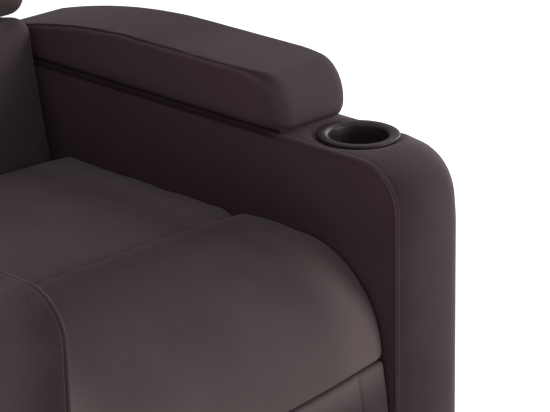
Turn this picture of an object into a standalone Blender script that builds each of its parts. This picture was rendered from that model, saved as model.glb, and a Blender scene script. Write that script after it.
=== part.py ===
"""Manual recliner chair: padded arms with cup holders, reclining back and lift-out footrest.

Metres, +Z up. The chair faces -Y and the sitter's left is +X. Places below are (y, z) pairs measured
from the plane of the arms' front and from the floor, and every piece is parented to its body's empty.
"""

import math

import bmesh
import bpy
import numpy as np
from mathutils import Matrix, Vector

# Fits
CLEARANCE = 0.0003
PLATE_GAP = 0.001
SLIDE_GAP = 0.0015
OVERRUN = 0.01
OVERLAP = 0.002

# Arms
SEAT_GAP = 0.536
ARM_WIDTH = 0.145
ARM_LENGTH = 0.765
ARM_TOP = 0.580
ARM_FRONT_RADIUS = 0.062
ARM_REAR_RADIUS = 0.055
ARM_SIDE_ROUND = 0.045
ARM_TOP_ROUND = 0.028
ARM_END_ROUND = 0.060
ARM_SEAM_RADIUS = 0.004
ARM_FRONT_LEAN = 0.012
ARM_WALL = 0.010
FOOT_HEIGHT = 0.035
FOOT_RADIUS = 0.015
FOOT_FLARE = 0.003

# Wooden frame inside each arm
BOARD_THICKNESS = 0.012
POST_DEPTH = 0.034
POST_DROP = 0.008
ARM_FRAME_WIDTH = 0.088
ARM_RAIL_HEIGHT = 0.030
ARM_RAIL_FRONT = 0.190

# Arm pads
PAD_FRONT = 0.190
PAD_LENGTH = 0.562
PAD_HEIGHT = 0.072
PAD_RADIUS = 0.020
PAD_FRONT_ROUND = 0.020
PAD_CROWN = 0.005
PAD_DRAW = 0.003
PAD_INNER_INSET = 0.001
PAD_OUTER_INSET = 0.017
PAD_DROOP = 0.006
PAD_TAIL = 0.300
PAD_TAIL_DROP = 0.044

# Cup holders
CUP_FLANGE_RADIUS = 0.053
CUP_FLANGE_HEIGHT = 0.0026
CUP_MOUTH_RADIUS = 0.0385
CUP_BASE_RADIUS = 0.033
CUP_DEPTH = 0.072
CUP_WALL = 0.0025
CUP_LIP = 0.003
CUP_RECESS = 0.0042
CUP_PLACE = 0.127

# Seat cushion
SEAT_TOP = 0.466
SEAT_THICKNESS = 0.094
SEAT_REAR = 0.590
SEAT_RADIUS = 0.016
ROLL_RADIUS = 0.136
ROLL_CENTRE = 0.150
ROLL_SAG = 0.020
SEAM_PLACE = 0.268
SEAM_DEPTH = 0.008
SEAM_WIDTH = 0.012
REAR_PANEL_DROP = 0.006
SEAT_CROWN = 0.010

# Steel plates, layer on layer inwards from each arm, and their pivots
PLATE = 0.003
LINK_RADIUS = 0.010
PIN_RADIUS = 0.004
SIDE_PLATE_RADIUS = 0.014

# Rails and carriers of the base
BASE_FRONT = (0.130, 0.075)
BASE_REAR = (0.700, 0.075)
SWING_FRONT_FOOT = (0.225, 0.187)
SWING_REAR_FOOT = (0.505, 0.187)
SWING_LENGTH = 0.090
SWING_LEAN_DEG = 30
CROSS_RADIUS = 0.0125
CROSS_WALL = 0.002
CROSS_FRONT = (0.420, 0.085)
CROSS_REAR = (0.620, 0.085)

# Wooden rails under the seat, and the wire springs on them
RAIL_HEIGHT = 0.035
FRONT_RAIL_HEIGHT = 0.062
RAIL_WIDTH = 0.030
RAIL_FRONT = 0.150
RAIL_REAR = 0.588
SPRING_WIRE = 0.0034
SPRING_WAVE = 0.022
SPRING_PITCH = 0.066
SPRING_COUNT = 4
SPRING_SPREAD = 0.330

# Footrest linkage: the footrest turns about a point that nothing marks
FOOT_CENTRE = (-0.015, 0.465)
DRIVE_PIVOT = (0.150, 0.290)
DRIVE_REACH = (0.105, -0.225)
GUIDE_OFFSET = (-0.052, 0.019)
CONTROL_OFFSET = (0.001, 0.035)
DRIVE_TUBE_RADIUS = 0.009
CATCH_SHARE = 0.62
SIDE_RAIL_FRONT = (0.190, 0.352)
SIDE_RAIL_REAR = (0.580, 0.352)

# Footrest
FOOT_PAD_BOTTOM = 0.076
FOOT_PAD_FRONT = 0.003
FOOT_PAD_THICKNESS = 0.052
FOOT_PAD_RADIUS = 0.016
FOOT_PAD_CROWN = 0.010
FOOT_PAD_GAP = 0.0035
FOOT_PAD_TOP_GAP = 0.0025
FOOT_SEAM_INSET = 0.047
FOOT_SEAM_DEPTH = 0.003
FOOT_SEAM_WIDTH = 0.006
FOOT_BOARD_THICKNESS = 0.012
FOOT_BOARD_HALF_WIDTH = 0.237
FOOT_BOARD_MARGIN = 0.014
BRACKET_FLANGE = 0.040
BRACKET_HEIGHT = 0.095

# Backrest, along its own slope from the hinge
HINGE = (0.692, 0.340)
BACK_LEAN_DEG = 12
BACK_POST_DEPTH = 0.030
BACK_POST_WIDTH = 0.030
BACK_POST_TOP = 0.655
BACK_POST_BOTTOM = -0.120
BACK_RAIL_HEIGHT = 0.030
BACK_RAIL_LOW = 0.060
BACK_BRACKET_REACH = 0.150
BACK_CUSHION_DEPTH = 0.094
BACK_CUSHION_RADIUS = 0.032
BACK_CUSHION_CROWN = 0.016
BACK_CUSHION_GAP = 0.002
BACK_SIDE_GAP = 0.0055
LUMBAR_BOTTOM = 0.045
LUMBAR_TOP = 0.296
MIDDLE_TOP = 0.494
HEAD_TOP = 0.700
HEAD_HALF_WIDTH = 0.300
COVER_BOTTOM = -0.150
COVER_DEPTH = 0.030
COVER_EDGE_RADIUS = 0.018
COVER_CORNER_RADIUS = 0.055
COVER_INSET = 0.006

# Release lever
LEVER_PIVOT = (0.360, 0.183)
LEVER_SHAFT_RADIUS = 0.007
LEVER_REACH = (0.022, 0.150)
LEVER_HUB_RADIUS = 0.020
LEVER_TIP_RADIUS = 0.015
LEVER_THICKNESS = 0.012
LEVER_EDGE = 0.003
LEVER_STANDOFF = 0.006
COLLAR_RADIUS = 0.026
PAWL_RADIUS = 0.011
NOSE_RADIUS = 0.008
NOSE_GAP = 0.0006

# Shares, edge angles and counts
HALF_CORNER_SHARE = 0.414
FOOT_BODY_SHARE = 0.8
MID_SHARE = 0.5
HARD_EDGE_DEG = 40
SOFT_EDGE_DEG = 60
SIDES_SMALL = 12
SIDES_LARGE = 20
SIDES_CUP = 32
ARC_STEPS = 6
EDGE_STEPS = 4

HALF_GAP = SEAT_GAP / 2
ARM_OUTER = HALF_GAP + ARM_WIDTH
CUP_X = HALF_GAP + ARM_WIDTH / 2
CUSHION_HALF = HALF_GAP - SLIDE_GAP
SEAT_UNDERSIDE = SEAT_TOP - SEAT_THICKNESS
ROLL_MIDDLE_RADIUS = ROLL_RADIUS - SEAT_THICKNESS / 2
ROLL_BOTTOM = SEAT_TOP - ROLL_RADIUS
RAIL_TOP = SEAT_UNDERSIDE - SPRING_WIRE - 2 * CLEARANCE
BACK_LEAN = math.radians(BACK_LEAN_DEG)
SWING_LEAN = math.radians(SWING_LEAN_DEG)
SIDES = {"left": 1, "right": -1}


def plus(a, b):
    return (a[0] + b[0], a[1] + b[1])


def minus(a, b):
    return (a[0] - b[0], a[1] - b[1])


def swing_top(foot):
    """Upper pivot of a swing link that leans back from its foot."""
    reach = (SWING_LENGTH * math.sin(SWING_LEAN), SWING_LENGTH * math.cos(SWING_LEAN))
    return plus(foot, reach)


SWING_FRONT_TOP = swing_top(SWING_FRONT_FOOT)
SWING_REAR_TOP = swing_top(SWING_REAR_FOOT)
GUIDE_PIVOT = plus(DRIVE_PIVOT, GUIDE_OFFSET)
DRIVE_KNEE = plus(DRIVE_PIVOT, DRIVE_REACH)
GUIDE_KNEE = plus(GUIDE_PIVOT, DRIVE_REACH)
CONTROL_KNEE = plus(DRIVE_KNEE, CONTROL_OFFSET)
FOOT_PIVOT = plus(FOOT_CENTRE, DRIVE_REACH)
CONTROL_END = plus(FOOT_PIVOT, CONTROL_OFFSET)
CATCH = plus(DRIVE_PIVOT, (DRIVE_REACH[0] * CATCH_SHARE, DRIVE_REACH[1] * CATCH_SHARE))
NOSE = plus(CATCH, (PIN_RADIUS + NOSE_GAP + NOSE_RADIUS, 0))

BODY_PIVOTS = {
    "base": (0, 0),
    "swing_rear": SWING_REAR_FOOT,
    "swing_front": SWING_FRONT_FOOT,
    "seat": SWING_REAR_TOP,
    "backrest": HINGE,
    "foot_drive": DRIVE_PIVOT,
    "foot_guide": GUIDE_PIVOT,
    "foot_knee": DRIVE_KNEE,
    "foot_control": CONTROL_KNEE,
    "footrest": FOOT_PIVOT,
    "release_handle": LEVER_PIVOT,
}
BODY_PARENTS = {
    "swing_rear": "base",
    "swing_front": "base",
    "seat": "swing_rear",
    "backrest": "seat",
    "foot_drive": "seat",
    "foot_guide": "seat",
    "foot_knee": "foot_drive",
    "foot_control": "foot_drive",
    "footrest": "foot_knee",
    "release_handle": "base",
}
FINISHES = {
    "upholstery": ((0.041, 0.031, 0.030), 0.85, 0.0),
    "cup_plastic": ((0.022, 0.017, 0.018), 0.35, 0.0),
    "steel": ((0.055, 0.055, 0.058), 0.45, 0.9),
    "plywood": ((0.52, 0.36, 0.20), 0.65, 0.0),
    "spring_steel": ((0.16, 0.16, 0.17), 0.4, 0.9),
    "foot_plastic": ((0.02, 0.02, 0.02), 0.7, 0.0),
    "lever_plastic": ((0.03, 0.024, 0.024), 0.5, 0.0),
}


def clear_scene():
    for thing in list(bpy.data.objects):
        bpy.data.objects.remove(thing)


def make_finish(name):
    colour, roughness, metallic = FINISHES[name]
    material = bpy.data.materials.new(name)
    material.use_nodes = True
    shader = material.node_tree.nodes["Principled BSDF"]
    shader.inputs["Base Color"].default_value = (*colour, 1)
    shader.inputs["Roughness"].default_value = roughness
    shader.inputs["Metallic"].default_value = metallic
    return material


def make_empty(name, parent, place):
    empty = bpy.data.objects.new(name, None)
    bpy.context.scene.collection.objects.link(empty)
    empty.parent = parent
    empty.location = place
    return empty


def make_bodies():
    """One empty for each moving body, on its joint's axis."""
    chair = make_empty("chair", None, (0, 0, 0))
    bodies = {}
    for body, pivot in BODY_PIVOTS.items():
        parent = bodies.get(BODY_PARENTS.get(body), chair)
        start = BODY_PIVOTS[BODY_PARENTS[body]] if body in BODY_PARENTS else (0, 0)
        step = minus(pivot, start)
        bodies[body] = make_empty("pivot_" + body, parent, (0, *step))
    return chair, bodies


class Chair:
    """The finishes, the bodies' empties and the pieces made so far."""

    def __init__(self):
        self.finishes = {name: make_finish(name) for name in FINISHES}
        self.root, self.bodies = make_bodies()

    def link(self, thing, body):
        bpy.context.scene.collection.objects.link(thing)
        thing.parent = self.bodies[body]

    def piece(self, name, mesh_data, body, finish, smooth_deg=HARD_EDGE_DEG):
        """A piece whose mesh is in chair coordinates, hung on its body's pivot."""
        y, z = BODY_PIVOTS[body]
        bmesh.ops.translate(mesh_data, verts=mesh_data.verts[:], vec=(0, -y, -z))
        bmesh.ops.recalc_face_normals(mesh_data, faces=mesh_data.faces[:])
        mesh = bpy.data.meshes.new(name)
        mesh_data.to_mesh(mesh)
        mesh_data.free()
        mesh.shade_smooth()
        mesh.set_sharp_from_angle(angle=math.radians(smooth_deg))
        thing = bpy.data.objects.new(name, mesh)
        self.link(thing, body)
        if finish:
            mesh.materials.append(self.finishes[finish])
        return thing

    def cut(self, host, body, mesh_data, how="DIFFERENCE", solver="EXACT"):
        """A Boolean on the host by a guide that the model leaves out."""
        guide = self.piece(f"{host.name}_{how.lower()}_{len(host.modifiers)}", mesh_data, body, None)
        guide.hide_render = True
        guide.display_type = "WIRE"
        change = host.modifiers.new(guide.name, "BOOLEAN")
        change.operation = how
        change.solver = solver
        change.object = guide


def disc_points(centre, radius, sides):
    turns = [2 * math.pi * step / sides for step in range(sides)]
    return [(centre[0] + radius * math.cos(t), centre[1] + radius * math.sin(t)) for t in turns]


def arc_points(centre, radius, start_deg, end_deg, steps):
    points = []
    for step in range(steps + 1):
        turn = math.radians(start_deg + (end_deg - start_deg) * step / steps)
        points.append((centre[0] + radius * math.cos(turn), centre[1] + radius * math.sin(turn)))
    return points


def hull_outline(discs, sides=SIDES_SMALL):
    """Outline that a belt round the discs would take, each disc a (centre, radius) pair."""
    points = sorted(point for centre, radius in discs for point in disc_points(centre, radius, sides))

    def half(ordered):
        chain = []
        for point in ordered:
            while len(chain) > 1:
                edge = minus(chain[-1], chain[-2])
                turn = minus(point, chain[-2])
                if edge[0] * turn[1] - edge[1] * turn[0] > 0:
                    break
                chain.pop()
            chain.append(point)
        return chain[:-1]

    return half(points) + half(points[::-1])


def band(shape, a, b):
    """Faces between two rings of corners; where corners coincide the faces are triangles."""
    count = len(a)
    for i in range(count):
        j = (i + 1) % count
        shape.faces.new(list(dict.fromkeys((a[i], a[j], b[j], b[i]))))


def loft(sections):
    """Solid through (x, outline) sections, whose outlines have one count of (y, z) points."""
    shape = bmesh.new()
    rings = [[shape.verts.new((x, *point)) for point in outline] for x, outline in sections]
    shape.faces.new(rings[0][::-1])
    shape.faces.new(rings[-1])
    for a, b in zip(rings, rings[1:]):
        band(shape, a, b)
    return shape


def prism(outline, low, high):
    """Solid whose (y, z) outline runs along X from low to high."""
    return loft([(low, outline), (high, outline)])


def rounded_end(end, radius, steps):
    """(x, inset) pairs of sections that round the edge of a loft's end."""
    pairs = []
    for step in range(steps + 1):
        turn = math.pi / 2 * step / steps
        pairs.append((end - radius * (1 - math.sin(turn)), radius * (1 - math.cos(turn))))
    return pairs


def rod(centre, radius, low, high, sides=SIDES_SMALL):
    return prism(disc_points(centre, radius, sides), low, high)


def box(low, high):
    """Solid box between two corners."""
    outline = [(low[1], low[2]), (high[1], low[2]), (high[1], high[2]), (low[1], high[2])]
    return prism(outline, low[0], high[0])


def pipe(centre, radius, wall, low, high, sides=SIDES_LARGE):
    """Open-ended tube along X."""
    shape = bmesh.new()
    rings = []
    for x, r in ((low, radius), (high, radius), (high, radius - wall), (low, radius - wall)):
        rings.append([shape.verts.new((x, *point)) for point in disc_points(centre, r, sides)])
    for a, b in zip(rings, rings[1:] + rings[:1]):
        band(shape, a, b)
    return shape


def turned(profile, sides, centre):
    """Solid turned about a vertical line at centre from an (r, z) profile that starts and ends at r = 0."""
    shape = bmesh.new()
    rings = []
    for radius, height in profile:
        if radius == 0:
            rings.append([shape.verts.new((*centre, height))] * sides)
        else:
            ring = disc_points(centre, radius, sides)
            rings.append([shape.verts.new((*point, height)) for point in ring])
    for a, b in zip(rings, rings[1:]):
        band(shape, a, b)
    return shape


def edge_stations(half, radius, middles):
    """Places along a soft block's side, from -half to half, with two steps in each rounded end."""
    flat = half - radius
    turn = flat + radius * HALF_CORNER_SHARE
    inner = [flat * (2 * step / middles - 1) for step in range(middles + 1)]
    return [-half, -turn, *inner, turn, half]


def soft_block(halves, radius, middles):
    """Block with round edges and corners, centred on the origin, of an even grid on each side."""
    stations = [edge_stations(half, radius, count) for half, count in zip(halves, middles)]
    counts = [len(line) - 1 for line in stations]
    shape = bmesh.new()
    corners = {}

    def corner(index):
        if index not in corners:
            place = Vector([line[step] for line, step in zip(stations, index)])
            core = Vector([max(radius - h, min(h - radius, c)) for h, c in zip(halves, place)])
            corners[index] = shape.verts.new(core + (place - core).normalized() * radius)
        return corners[index]

    for axis in range(3):
        across, along = [other for other in range(3) if other != axis]
        for end in (0, counts[axis]):
            for i in range(counts[across]):
                for j in range(counts[along]):
                    ring = []
                    for step_i, step_j in ((0, 0), (1, 0), (1, 1), (0, 1)):
                        index = [0, 0, 0]
                        index[axis] = end
                        index[across] = i + step_i
                        index[along] = j + step_j
                        ring.append(corner(tuple(index)))
                    shape.faces.new(ring)
    return shape


def hump(share):
    """1 in the middle and 0 at both ends of a -1 to 1 span."""
    return max(0.0, 1 - share * share)


def ease(share):
    """0 below 0, 1 above 1, and smooth between."""
    share = max(0.0, min(1.0, share))
    return share * share * (3 - 2 * share)


def groove(distance, width):
    return math.exp(-((distance / width) ** 2))


def layer(number):
    """Outer and inner x of a steel plate, counted inwards from the arm."""
    outer = HALF_GAP - CLEARANCE - number * (PLATE + PLATE_GAP)
    return outer, outer - PLATE


BASE_LAYER, SWING_LAYER, SIDE_LAYER, DRIVE_LAYER, KNEE_LAYER, CONTROL_LAYER, BRACKET_LAYER = range(7)


def steel_plate(chair, name, side, body, number, discs):
    outer, inner = layer(number)
    shape = prism(hull_outline(discs), side * outer, side * inner)
    return chair.piece(name, shape, body, "steel")


def add_pin(chair, plate, side, body, centre, from_layer, to_layer, radius=PIN_RADIUS):
    """Rivet on a plate that reaches through the plate of another layer."""
    start = sum(layer(from_layer)) / 2
    outer, inner = layer(to_layer)
    end = inner if to_layer > from_layer else outer
    chair.cut(plate, body, rod(centre, radius, side * start, side * end), "UNION")


def add_bore(chair, plate, side, body, centre, number, radius=PIN_RADIUS):
    outer, inner = layer(number)
    cutter = rod(centre, radius + CLEARANCE, side * (outer + OVERRUN), side * (inner - OVERRUN))
    chair.cut(plate, body, cutter)


def arm_outline(end_inset, top_inset, bottom):
    """Side view of an arm: leaning front, rounded top corners and a straight rear."""
    front_radius = ARM_FRONT_RADIUS - top_inset
    rear_radius = ARM_REAR_RADIUS - top_inset
    rear = ARM_LENGTH - end_inset
    front_centre = (end_inset + front_radius, ARM_TOP - ARM_FRONT_RADIUS)
    rear_centre = (rear - rear_radius, ARM_TOP - ARM_REAR_RADIUS)
    outline = [(end_inset - ARM_FRONT_LEAN, bottom), (rear, bottom)]
    outline += arc_points(rear_centre, rear_radius, 0, 90, ARC_STEPS)
    outline += arc_points(front_centre, front_radius, 90, 180, ARC_STEPS)
    return outline


def arm_block(side, inset, bottom, seam_radius):
    """Arm's outer form, or the hollow inside it at an inset, round along the edges of its outer side."""
    inner = HALF_GAP + inset
    sections = [(side * (inner + seam_radius), arm_outline(inset, inset, bottom))]
    if seam_radius:
        seam_inset = inset + seam_radius
        sections.insert(0, (side * inner, arm_outline(seam_inset, seam_inset, bottom)))
    side_round = ARM_SIDE_ROUND - inset
    for x, edge_inset in rounded_end(ARM_OUTER - inset, side_round, EDGE_STEPS):
        turn_share = edge_inset / side_round
        end_inset = inset + turn_share * (ARM_END_ROUND - inset)
        top_inset = inset + turn_share * (ARM_TOP_ROUND - inset)
        sections.append((side * x, arm_outline(end_inset, top_inset, bottom)))
    return loft(sections)


def make_arm_cover(chair, name, side):
    """Padded shell of an arm, open below, with the holes for its cup holder and the lever's shaft."""
    cover = chair.piece(name, arm_block(side, 0, FOOT_HEIGHT, ARM_SEAM_RADIUS), "base", "upholstery")
    hollow = arm_block(side, ARM_WALL, FOOT_HEIGHT - OVERRUN, 0)
    chair.cut(cover, "base", hollow, solver="MANIFOLD")
    chair.cut(cover, "base", cup_cutter(side), solver="MANIFOLD")
    if side < 0:
        chair.cut(cover, "base", shaft_hole(side), solver="MANIFOLD")


def cup_cutter(side):
    """Stepped cutter for a cup holder: its hole, and the recess that its flange is let into."""
    hole_radius = CUP_MOUTH_RADIUS + CUP_WALL + CLEARANCE
    recess_radius = CUP_FLANGE_RADIUS + CLEARANCE
    below = ARM_TOP - ARM_WALL - OVERRUN
    step = ARM_TOP - CUP_RECESS
    above = ARM_TOP + OVERRUN
    profile = [
        (0, below),
        (hole_radius, below),
        (hole_radius, step),
        (recess_radius, step),
        (recess_radius, above),
        (0, above),
    ]
    return turned(profile, SIDES_CUP, (side * CUP_X, CUP_PLACE))


def shaft_hole(side):
    radius = LEVER_SHAFT_RADIUS + CLEARANCE
    inner = HALF_GAP - PLATE - OVERRUN
    return rod(LEVER_PIVOT, radius, side * inner, side * (ARM_OUTER + OVERRUN))


def make_arm_frame(chair, name, side):
    """Board against the seat side, with posts at both ends and a rail under the pad."""
    inset = ARM_WALL + CLEARANCE
    board_x = HALF_GAP + inset
    board_end = board_x + BOARD_THICKNESS
    bottom = FOOT_HEIGHT + CLEARANCE
    board = prism(arm_outline(inset, inset, bottom), side * board_x, side * board_end)
    frame = chair.piece(name, board, "base", "plywood")
    start = board_end - OVERLAP
    end = board_x + ARM_FRAME_WIDTH
    front = ARM_WALL + CLEARANCE
    rear = ARM_LENGTH - inset - OVERLAP
    post_top = ARM_TOP - ARM_FRONT_RADIUS - POST_DROP
    parts = [
        ((front, bottom), (front + POST_DEPTH, post_top)),
        ((rear - POST_DEPTH, bottom), (rear, post_top)),
        ((ARM_RAIL_FRONT, ARM_TOP - inset - ARM_RAIL_HEIGHT), (rear - ARM_REAR_RADIUS, ARM_TOP - inset)),
    ]
    for low, high in parts:
        chair.cut(frame, "base", box((side * start, *low), (side * end, *high)), "UNION")
    if side < 0:
        chair.cut(frame, "base", shaft_hole(side))


def make_foot(chair, name, side, y):
    """Plastic glide under a post."""
    centre = (side * (HALF_GAP + ARM_WALL + ARM_FRAME_WIDTH / 2 + BOARD_THICKNESS / 2), y)
    neck = FOOT_RADIUS * FOOT_BODY_SHARE
    profile = [
        (0, 0),
        (FOOT_RADIUS - FOOT_FLARE, 0),
        (FOOT_RADIUS, FOOT_FLARE),
        (neck, FOOT_HEIGHT - FOOT_FLARE),
        (FOOT_RADIUS, FOOT_HEIGHT),
        (0, FOOT_HEIGHT),
    ]
    chair.piece(name, turned(profile, SIDES_LARGE, centre), "base", "foot_plastic")


def make_arm_pad(chair, name, side):
    """Boxed pad on the arm: crowned, round in front, and thinner towards its rear end."""
    half_x = (ARM_WIDTH - PAD_INNER_INSET - PAD_OUTER_INSET) / 2
    half_y = PAD_LENGTH / 2
    half_z = PAD_HEIGHT / 2
    middle = HALF_GAP + PAD_INNER_INSET + half_x
    shape = soft_block((half_x, half_y, half_z), PAD_RADIUS, (4, 9, 1))
    bottom = ARM_TOP + CLEARANCE
    for vert in shape.verts:
        x, y, z = vert.co
        rise = (z + half_z) / PAD_HEIGHT
        across = x / half_x
        tail = max(0.0, (y - (half_y - PAD_TAIL)) / PAD_TAIL)
        lean = PAD_FRONT_ROUND * rise * rise * ease((-y - half_y * MID_SHARE) / (half_y * MID_SHARE))
        height = PAD_HEIGHT - PAD_TAIL_DROP * tail * tail + PAD_CROWN * hump(across) * hump(y / half_y)
        draw = PAD_DRAW * hump(2 * rise - 1 if rise < MID_SHARE else 0)
        droop = PAD_DROOP * (1 - rise) * ease((side * x - half_x + PAD_RADIUS) / PAD_RADIUS)
        vert.co = (
            side * middle + x * (1 - draw / half_x),
            PAD_FRONT + half_y + y + lean,
            bottom + rise * height - droop,
        )
    chair.piece(name, shape, "base", "upholstery", SOFT_EDGE_DEG)


def make_cup_holder(chair, name, side):
    """Tapered cup with a flange that is let into the arm's top."""
    flange_bottom = ARM_TOP - CUP_RECESS + CLEARANCE
    top = ARM_TOP + CUP_FLANGE_HEIGHT
    floor = top - CUP_DEPTH
    profile = [
        (0, floor - CUP_WALL),
        (CUP_BASE_RADIUS + CUP_WALL, floor - CUP_WALL),
        (CUP_MOUTH_RADIUS + CUP_WALL, flange_bottom),
        (CUP_FLANGE_RADIUS, flange_bottom),
        (CUP_FLANGE_RADIUS, top - CUP_WALL / 2),
        (CUP_FLANGE_RADIUS - CUP_LIP, top),
        (CUP_MOUTH_RADIUS + CUP_LIP, top),
        (CUP_MOUTH_RADIUS, top - CUP_LIP),
        (CUP_BASE_RADIUS, floor),
        (0, floor),
    ]
    chair.piece(name, turned(profile, SIDES_CUP, (side * CUP_X, CUP_PLACE)), "base", "cup_plastic")


def make_arms(chair):
    for label, side in SIDES.items():
        make_arm_cover(chair, label + "_arm_cover", side)
        make_arm_frame(chair, label + "_arm_frame", side)
        make_arm_pad(chair, label + "_arm_pad", side)
        make_cup_holder(chair, label + "_cup_holder", side)
        inset = ARM_WALL + CLEARANCE
        make_foot(chair, label + "_front_foot", side, inset + POST_DEPTH / 2)
        make_foot(chair, label + "_rear_foot", side, ARM_LENGTH - inset - OVERLAP - POST_DEPTH / 2)


def make_base(chair):
    """Steel plates on the arms' inner faces, with the tubes that tie them."""
    radius = SIDE_PLATE_RADIUS
    for label, side in SIDES.items():
        places = (BASE_FRONT, BASE_REAR, SWING_FRONT_FOOT, SWING_REAR_FOOT)
        discs = [(place, radius) for place in places]
        plate = steel_plate(chair, label + "_base_plate", side, "base", BASE_LAYER, discs)
        for foot in (SWING_FRONT_FOOT, SWING_REAR_FOOT):
            add_pin(chair, plate, side, "base", foot, BASE_LAYER, SWING_LAYER)
        if side < 0:
            add_bore(chair, plate, side, "base", LEVER_PIVOT, BASE_LAYER, LEVER_SHAFT_RADIUS)
    reach = layer(BASE_LAYER)[1] - CLEARANCE
    for name, centre in (("front_cross_tube", CROSS_FRONT), ("rear_cross_tube", CROSS_REAR)):
        chair.piece(name, pipe(centre, CROSS_RADIUS, CROSS_WALL, -reach, reach), "base", "steel")


def make_swing_links(chair):
    places = {
        "front": ("swing_front", SWING_FRONT_FOOT, SWING_FRONT_TOP),
        "rear": ("swing_rear", SWING_REAR_FOOT, SWING_REAR_TOP),
    }
    for label, side in SIDES.items():
        for end, (body, foot, top) in places.items():
            discs = [(foot, LINK_RADIUS), (top, LINK_RADIUS)]
            link = steel_plate(chair, f"{label}_{end}_swing_link", side, body, SWING_LAYER, discs)
            add_bore(chair, link, side, body, foot, SWING_LAYER)
            add_bore(chair, link, side, body, top, SWING_LAYER)


def make_side_plates(chair):
    """Plates that carry the seat, the back's hinge and the footrest's upper pivots."""
    radius = SIDE_PLATE_RADIUS
    for label, side in SIDES.items():
        places = (GUIDE_PIVOT, DRIVE_PIVOT, SWING_FRONT_TOP, SWING_REAR_TOP, HINGE)
        discs = [(place, radius) for place in places]
        discs += [(SIDE_RAIL_FRONT, LINK_RADIUS), (SIDE_RAIL_REAR, LINK_RADIUS)]
        plate = steel_plate(chair, label + "_seat_side_plate", side, "seat", SIDE_LAYER, discs)
        for top in (SWING_FRONT_TOP, SWING_REAR_TOP):
            add_pin(chair, plate, side, "seat", top, SIDE_LAYER, SWING_LAYER)
        for pivot in (GUIDE_PIVOT, DRIVE_PIVOT, HINGE):
            add_pin(chair, plate, side, "seat", pivot, SIDE_LAYER, DRIVE_LAYER)


def make_seat_rails(chair):
    outer = layer(SIDE_LAYER)[1] - CLEARANCE
    low = RAIL_TOP - RAIL_HEIGHT
    inner = outer - RAIL_WIDTH
    for label, side in SIDES.items():
        shape = box((side * inner, RAIL_FRONT, low), (side * outer, RAIL_REAR, RAIL_TOP))
        chair.piece(label + "_seat_rail", shape, "seat", "plywood")
    reach = inner - CLEARANCE
    cross_rails = {
        "front_seat_rail": (RAIL_FRONT, FRONT_RAIL_HEIGHT),
        "rear_seat_rail": (RAIL_REAR - RAIL_WIDTH, RAIL_HEIGHT),
    }
    for name, (start, height) in cross_rails.items():
        shape = box((-reach, start, RAIL_TOP - height), (reach, start + RAIL_WIDTH, RAIL_TOP))
        chair.piece(name, shape, "seat", "plywood")


def make_seat_springs(chair):
    """Zigzag wires from the front rail to the rear rail."""
    height = RAIL_TOP + CLEARANCE + SPRING_WIRE / 2
    start = RAIL_FRONT + RAIL_WIDTH / 2
    end = RAIL_REAR - RAIL_WIDTH / 2
    waves = round((end - start) / SPRING_PITCH)
    steps = waves * SIDES_SMALL
    for number in range(SPRING_COUNT):
        middle = SPRING_SPREAD * (number / (SPRING_COUNT - 1) - MID_SHARE)
        curve = bpy.data.curves.new(f"seat_spring_{number + 1}", "CURVE")
        curve.dimensions = "3D"
        curve.bevel_depth = SPRING_WIRE / 2
        curve.bevel_resolution = 0
        curve.use_fill_caps = True
        line = curve.splines.new("POLY")
        line.points.add(steps)
        py, pz = BODY_PIVOTS["seat"]
        for step, point in enumerate(line.points):
            share = step / steps
            wave = SPRING_WAVE * math.sin(2 * math.pi * waves * share)
            point.co = (middle + wave, start + (end - start) * share - py, height - pz, 1)
        curve.materials.append(chair.finishes["spring_steel"])
        chair.link(bpy.data.objects.new(curve.name, curve), "seat")


def seat_height_change(x, y, over):
    """How far the seat's upper side stands above or below a plain bent slab."""
    rear = ease((y - SEAM_PLACE) / SEAM_WIDTH + MID_SHARE)
    valley = SEAM_DEPTH * groove(y - SEAM_PLACE, SEAM_WIDTH)
    crown = SEAT_CROWN * hump(x / CUSHION_HALF)
    return over * (crown - REAR_PANEL_DROP * rear - valley)


def make_seat_cushion(chair):
    """Slab with a sewn cross seam, bent down in front into a roll."""
    straight = SEAT_REAR - ROLL_CENTRE
    length = straight + ROLL_MIDDLE_RADIUS * math.pi / 2
    half_t = SEAT_THICKNESS / 2
    shape = soft_block((CUSHION_HALF, length / 2, half_t), SEAT_RADIUS, (8, 20, 1))
    for vert in shape.verts:
        x, along, offset = vert.co
        travel = length / 2 - along
        over = (offset + half_t) / SEAT_THICKNESS
        turn = max(0.0, (travel - straight) / ROLL_MIDDLE_RADIUS)
        radius = ROLL_MIDDLE_RADIUS + offset
        y = min(travel, straight)
        y = SEAT_REAR - y - radius * math.sin(turn)
        z = ROLL_BOTTOM + radius * math.cos(turn)
        z += math.cos(turn) * seat_height_change(x, y, over)
        z -= ROLL_SAG * hump(x / CUSHION_HALF) * math.sin(turn) ** 2
        vert.co = (x, y, z)
    chair.piece("seat_cushion", shape, "seat", "upholstery", SOFT_EDGE_DEG)


def make_drive_links(chair):
    discs = [(DRIVE_PIVOT, LINK_RADIUS), (DRIVE_KNEE, LINK_RADIUS), (CONTROL_KNEE, LINK_RADIUS)]
    for label, side in SIDES.items():
        link = steel_plate(chair, label + "_drive_link", side, "foot_drive", DRIVE_LAYER, discs)
        add_bore(chair, link, side, "foot_drive", DRIVE_PIVOT, DRIVE_LAYER)
        add_bore(chair, link, side, "foot_drive", DRIVE_KNEE, DRIVE_LAYER)
        add_pin(chair, link, side, "foot_drive", CONTROL_KNEE, DRIVE_LAYER, CONTROL_LAYER)
        if side < 0:
            add_pin(chair, link, side, "foot_drive", CATCH, DRIVE_LAYER, SWING_LAYER)
    reach = layer(DRIVE_LAYER)[1] - CLEARANCE
    tube = pipe(DRIVE_PIVOT, DRIVE_TUBE_RADIUS, CROSS_WALL, -reach, reach)
    chair.piece("drive_tube", tube, "foot_drive", "steel")


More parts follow.
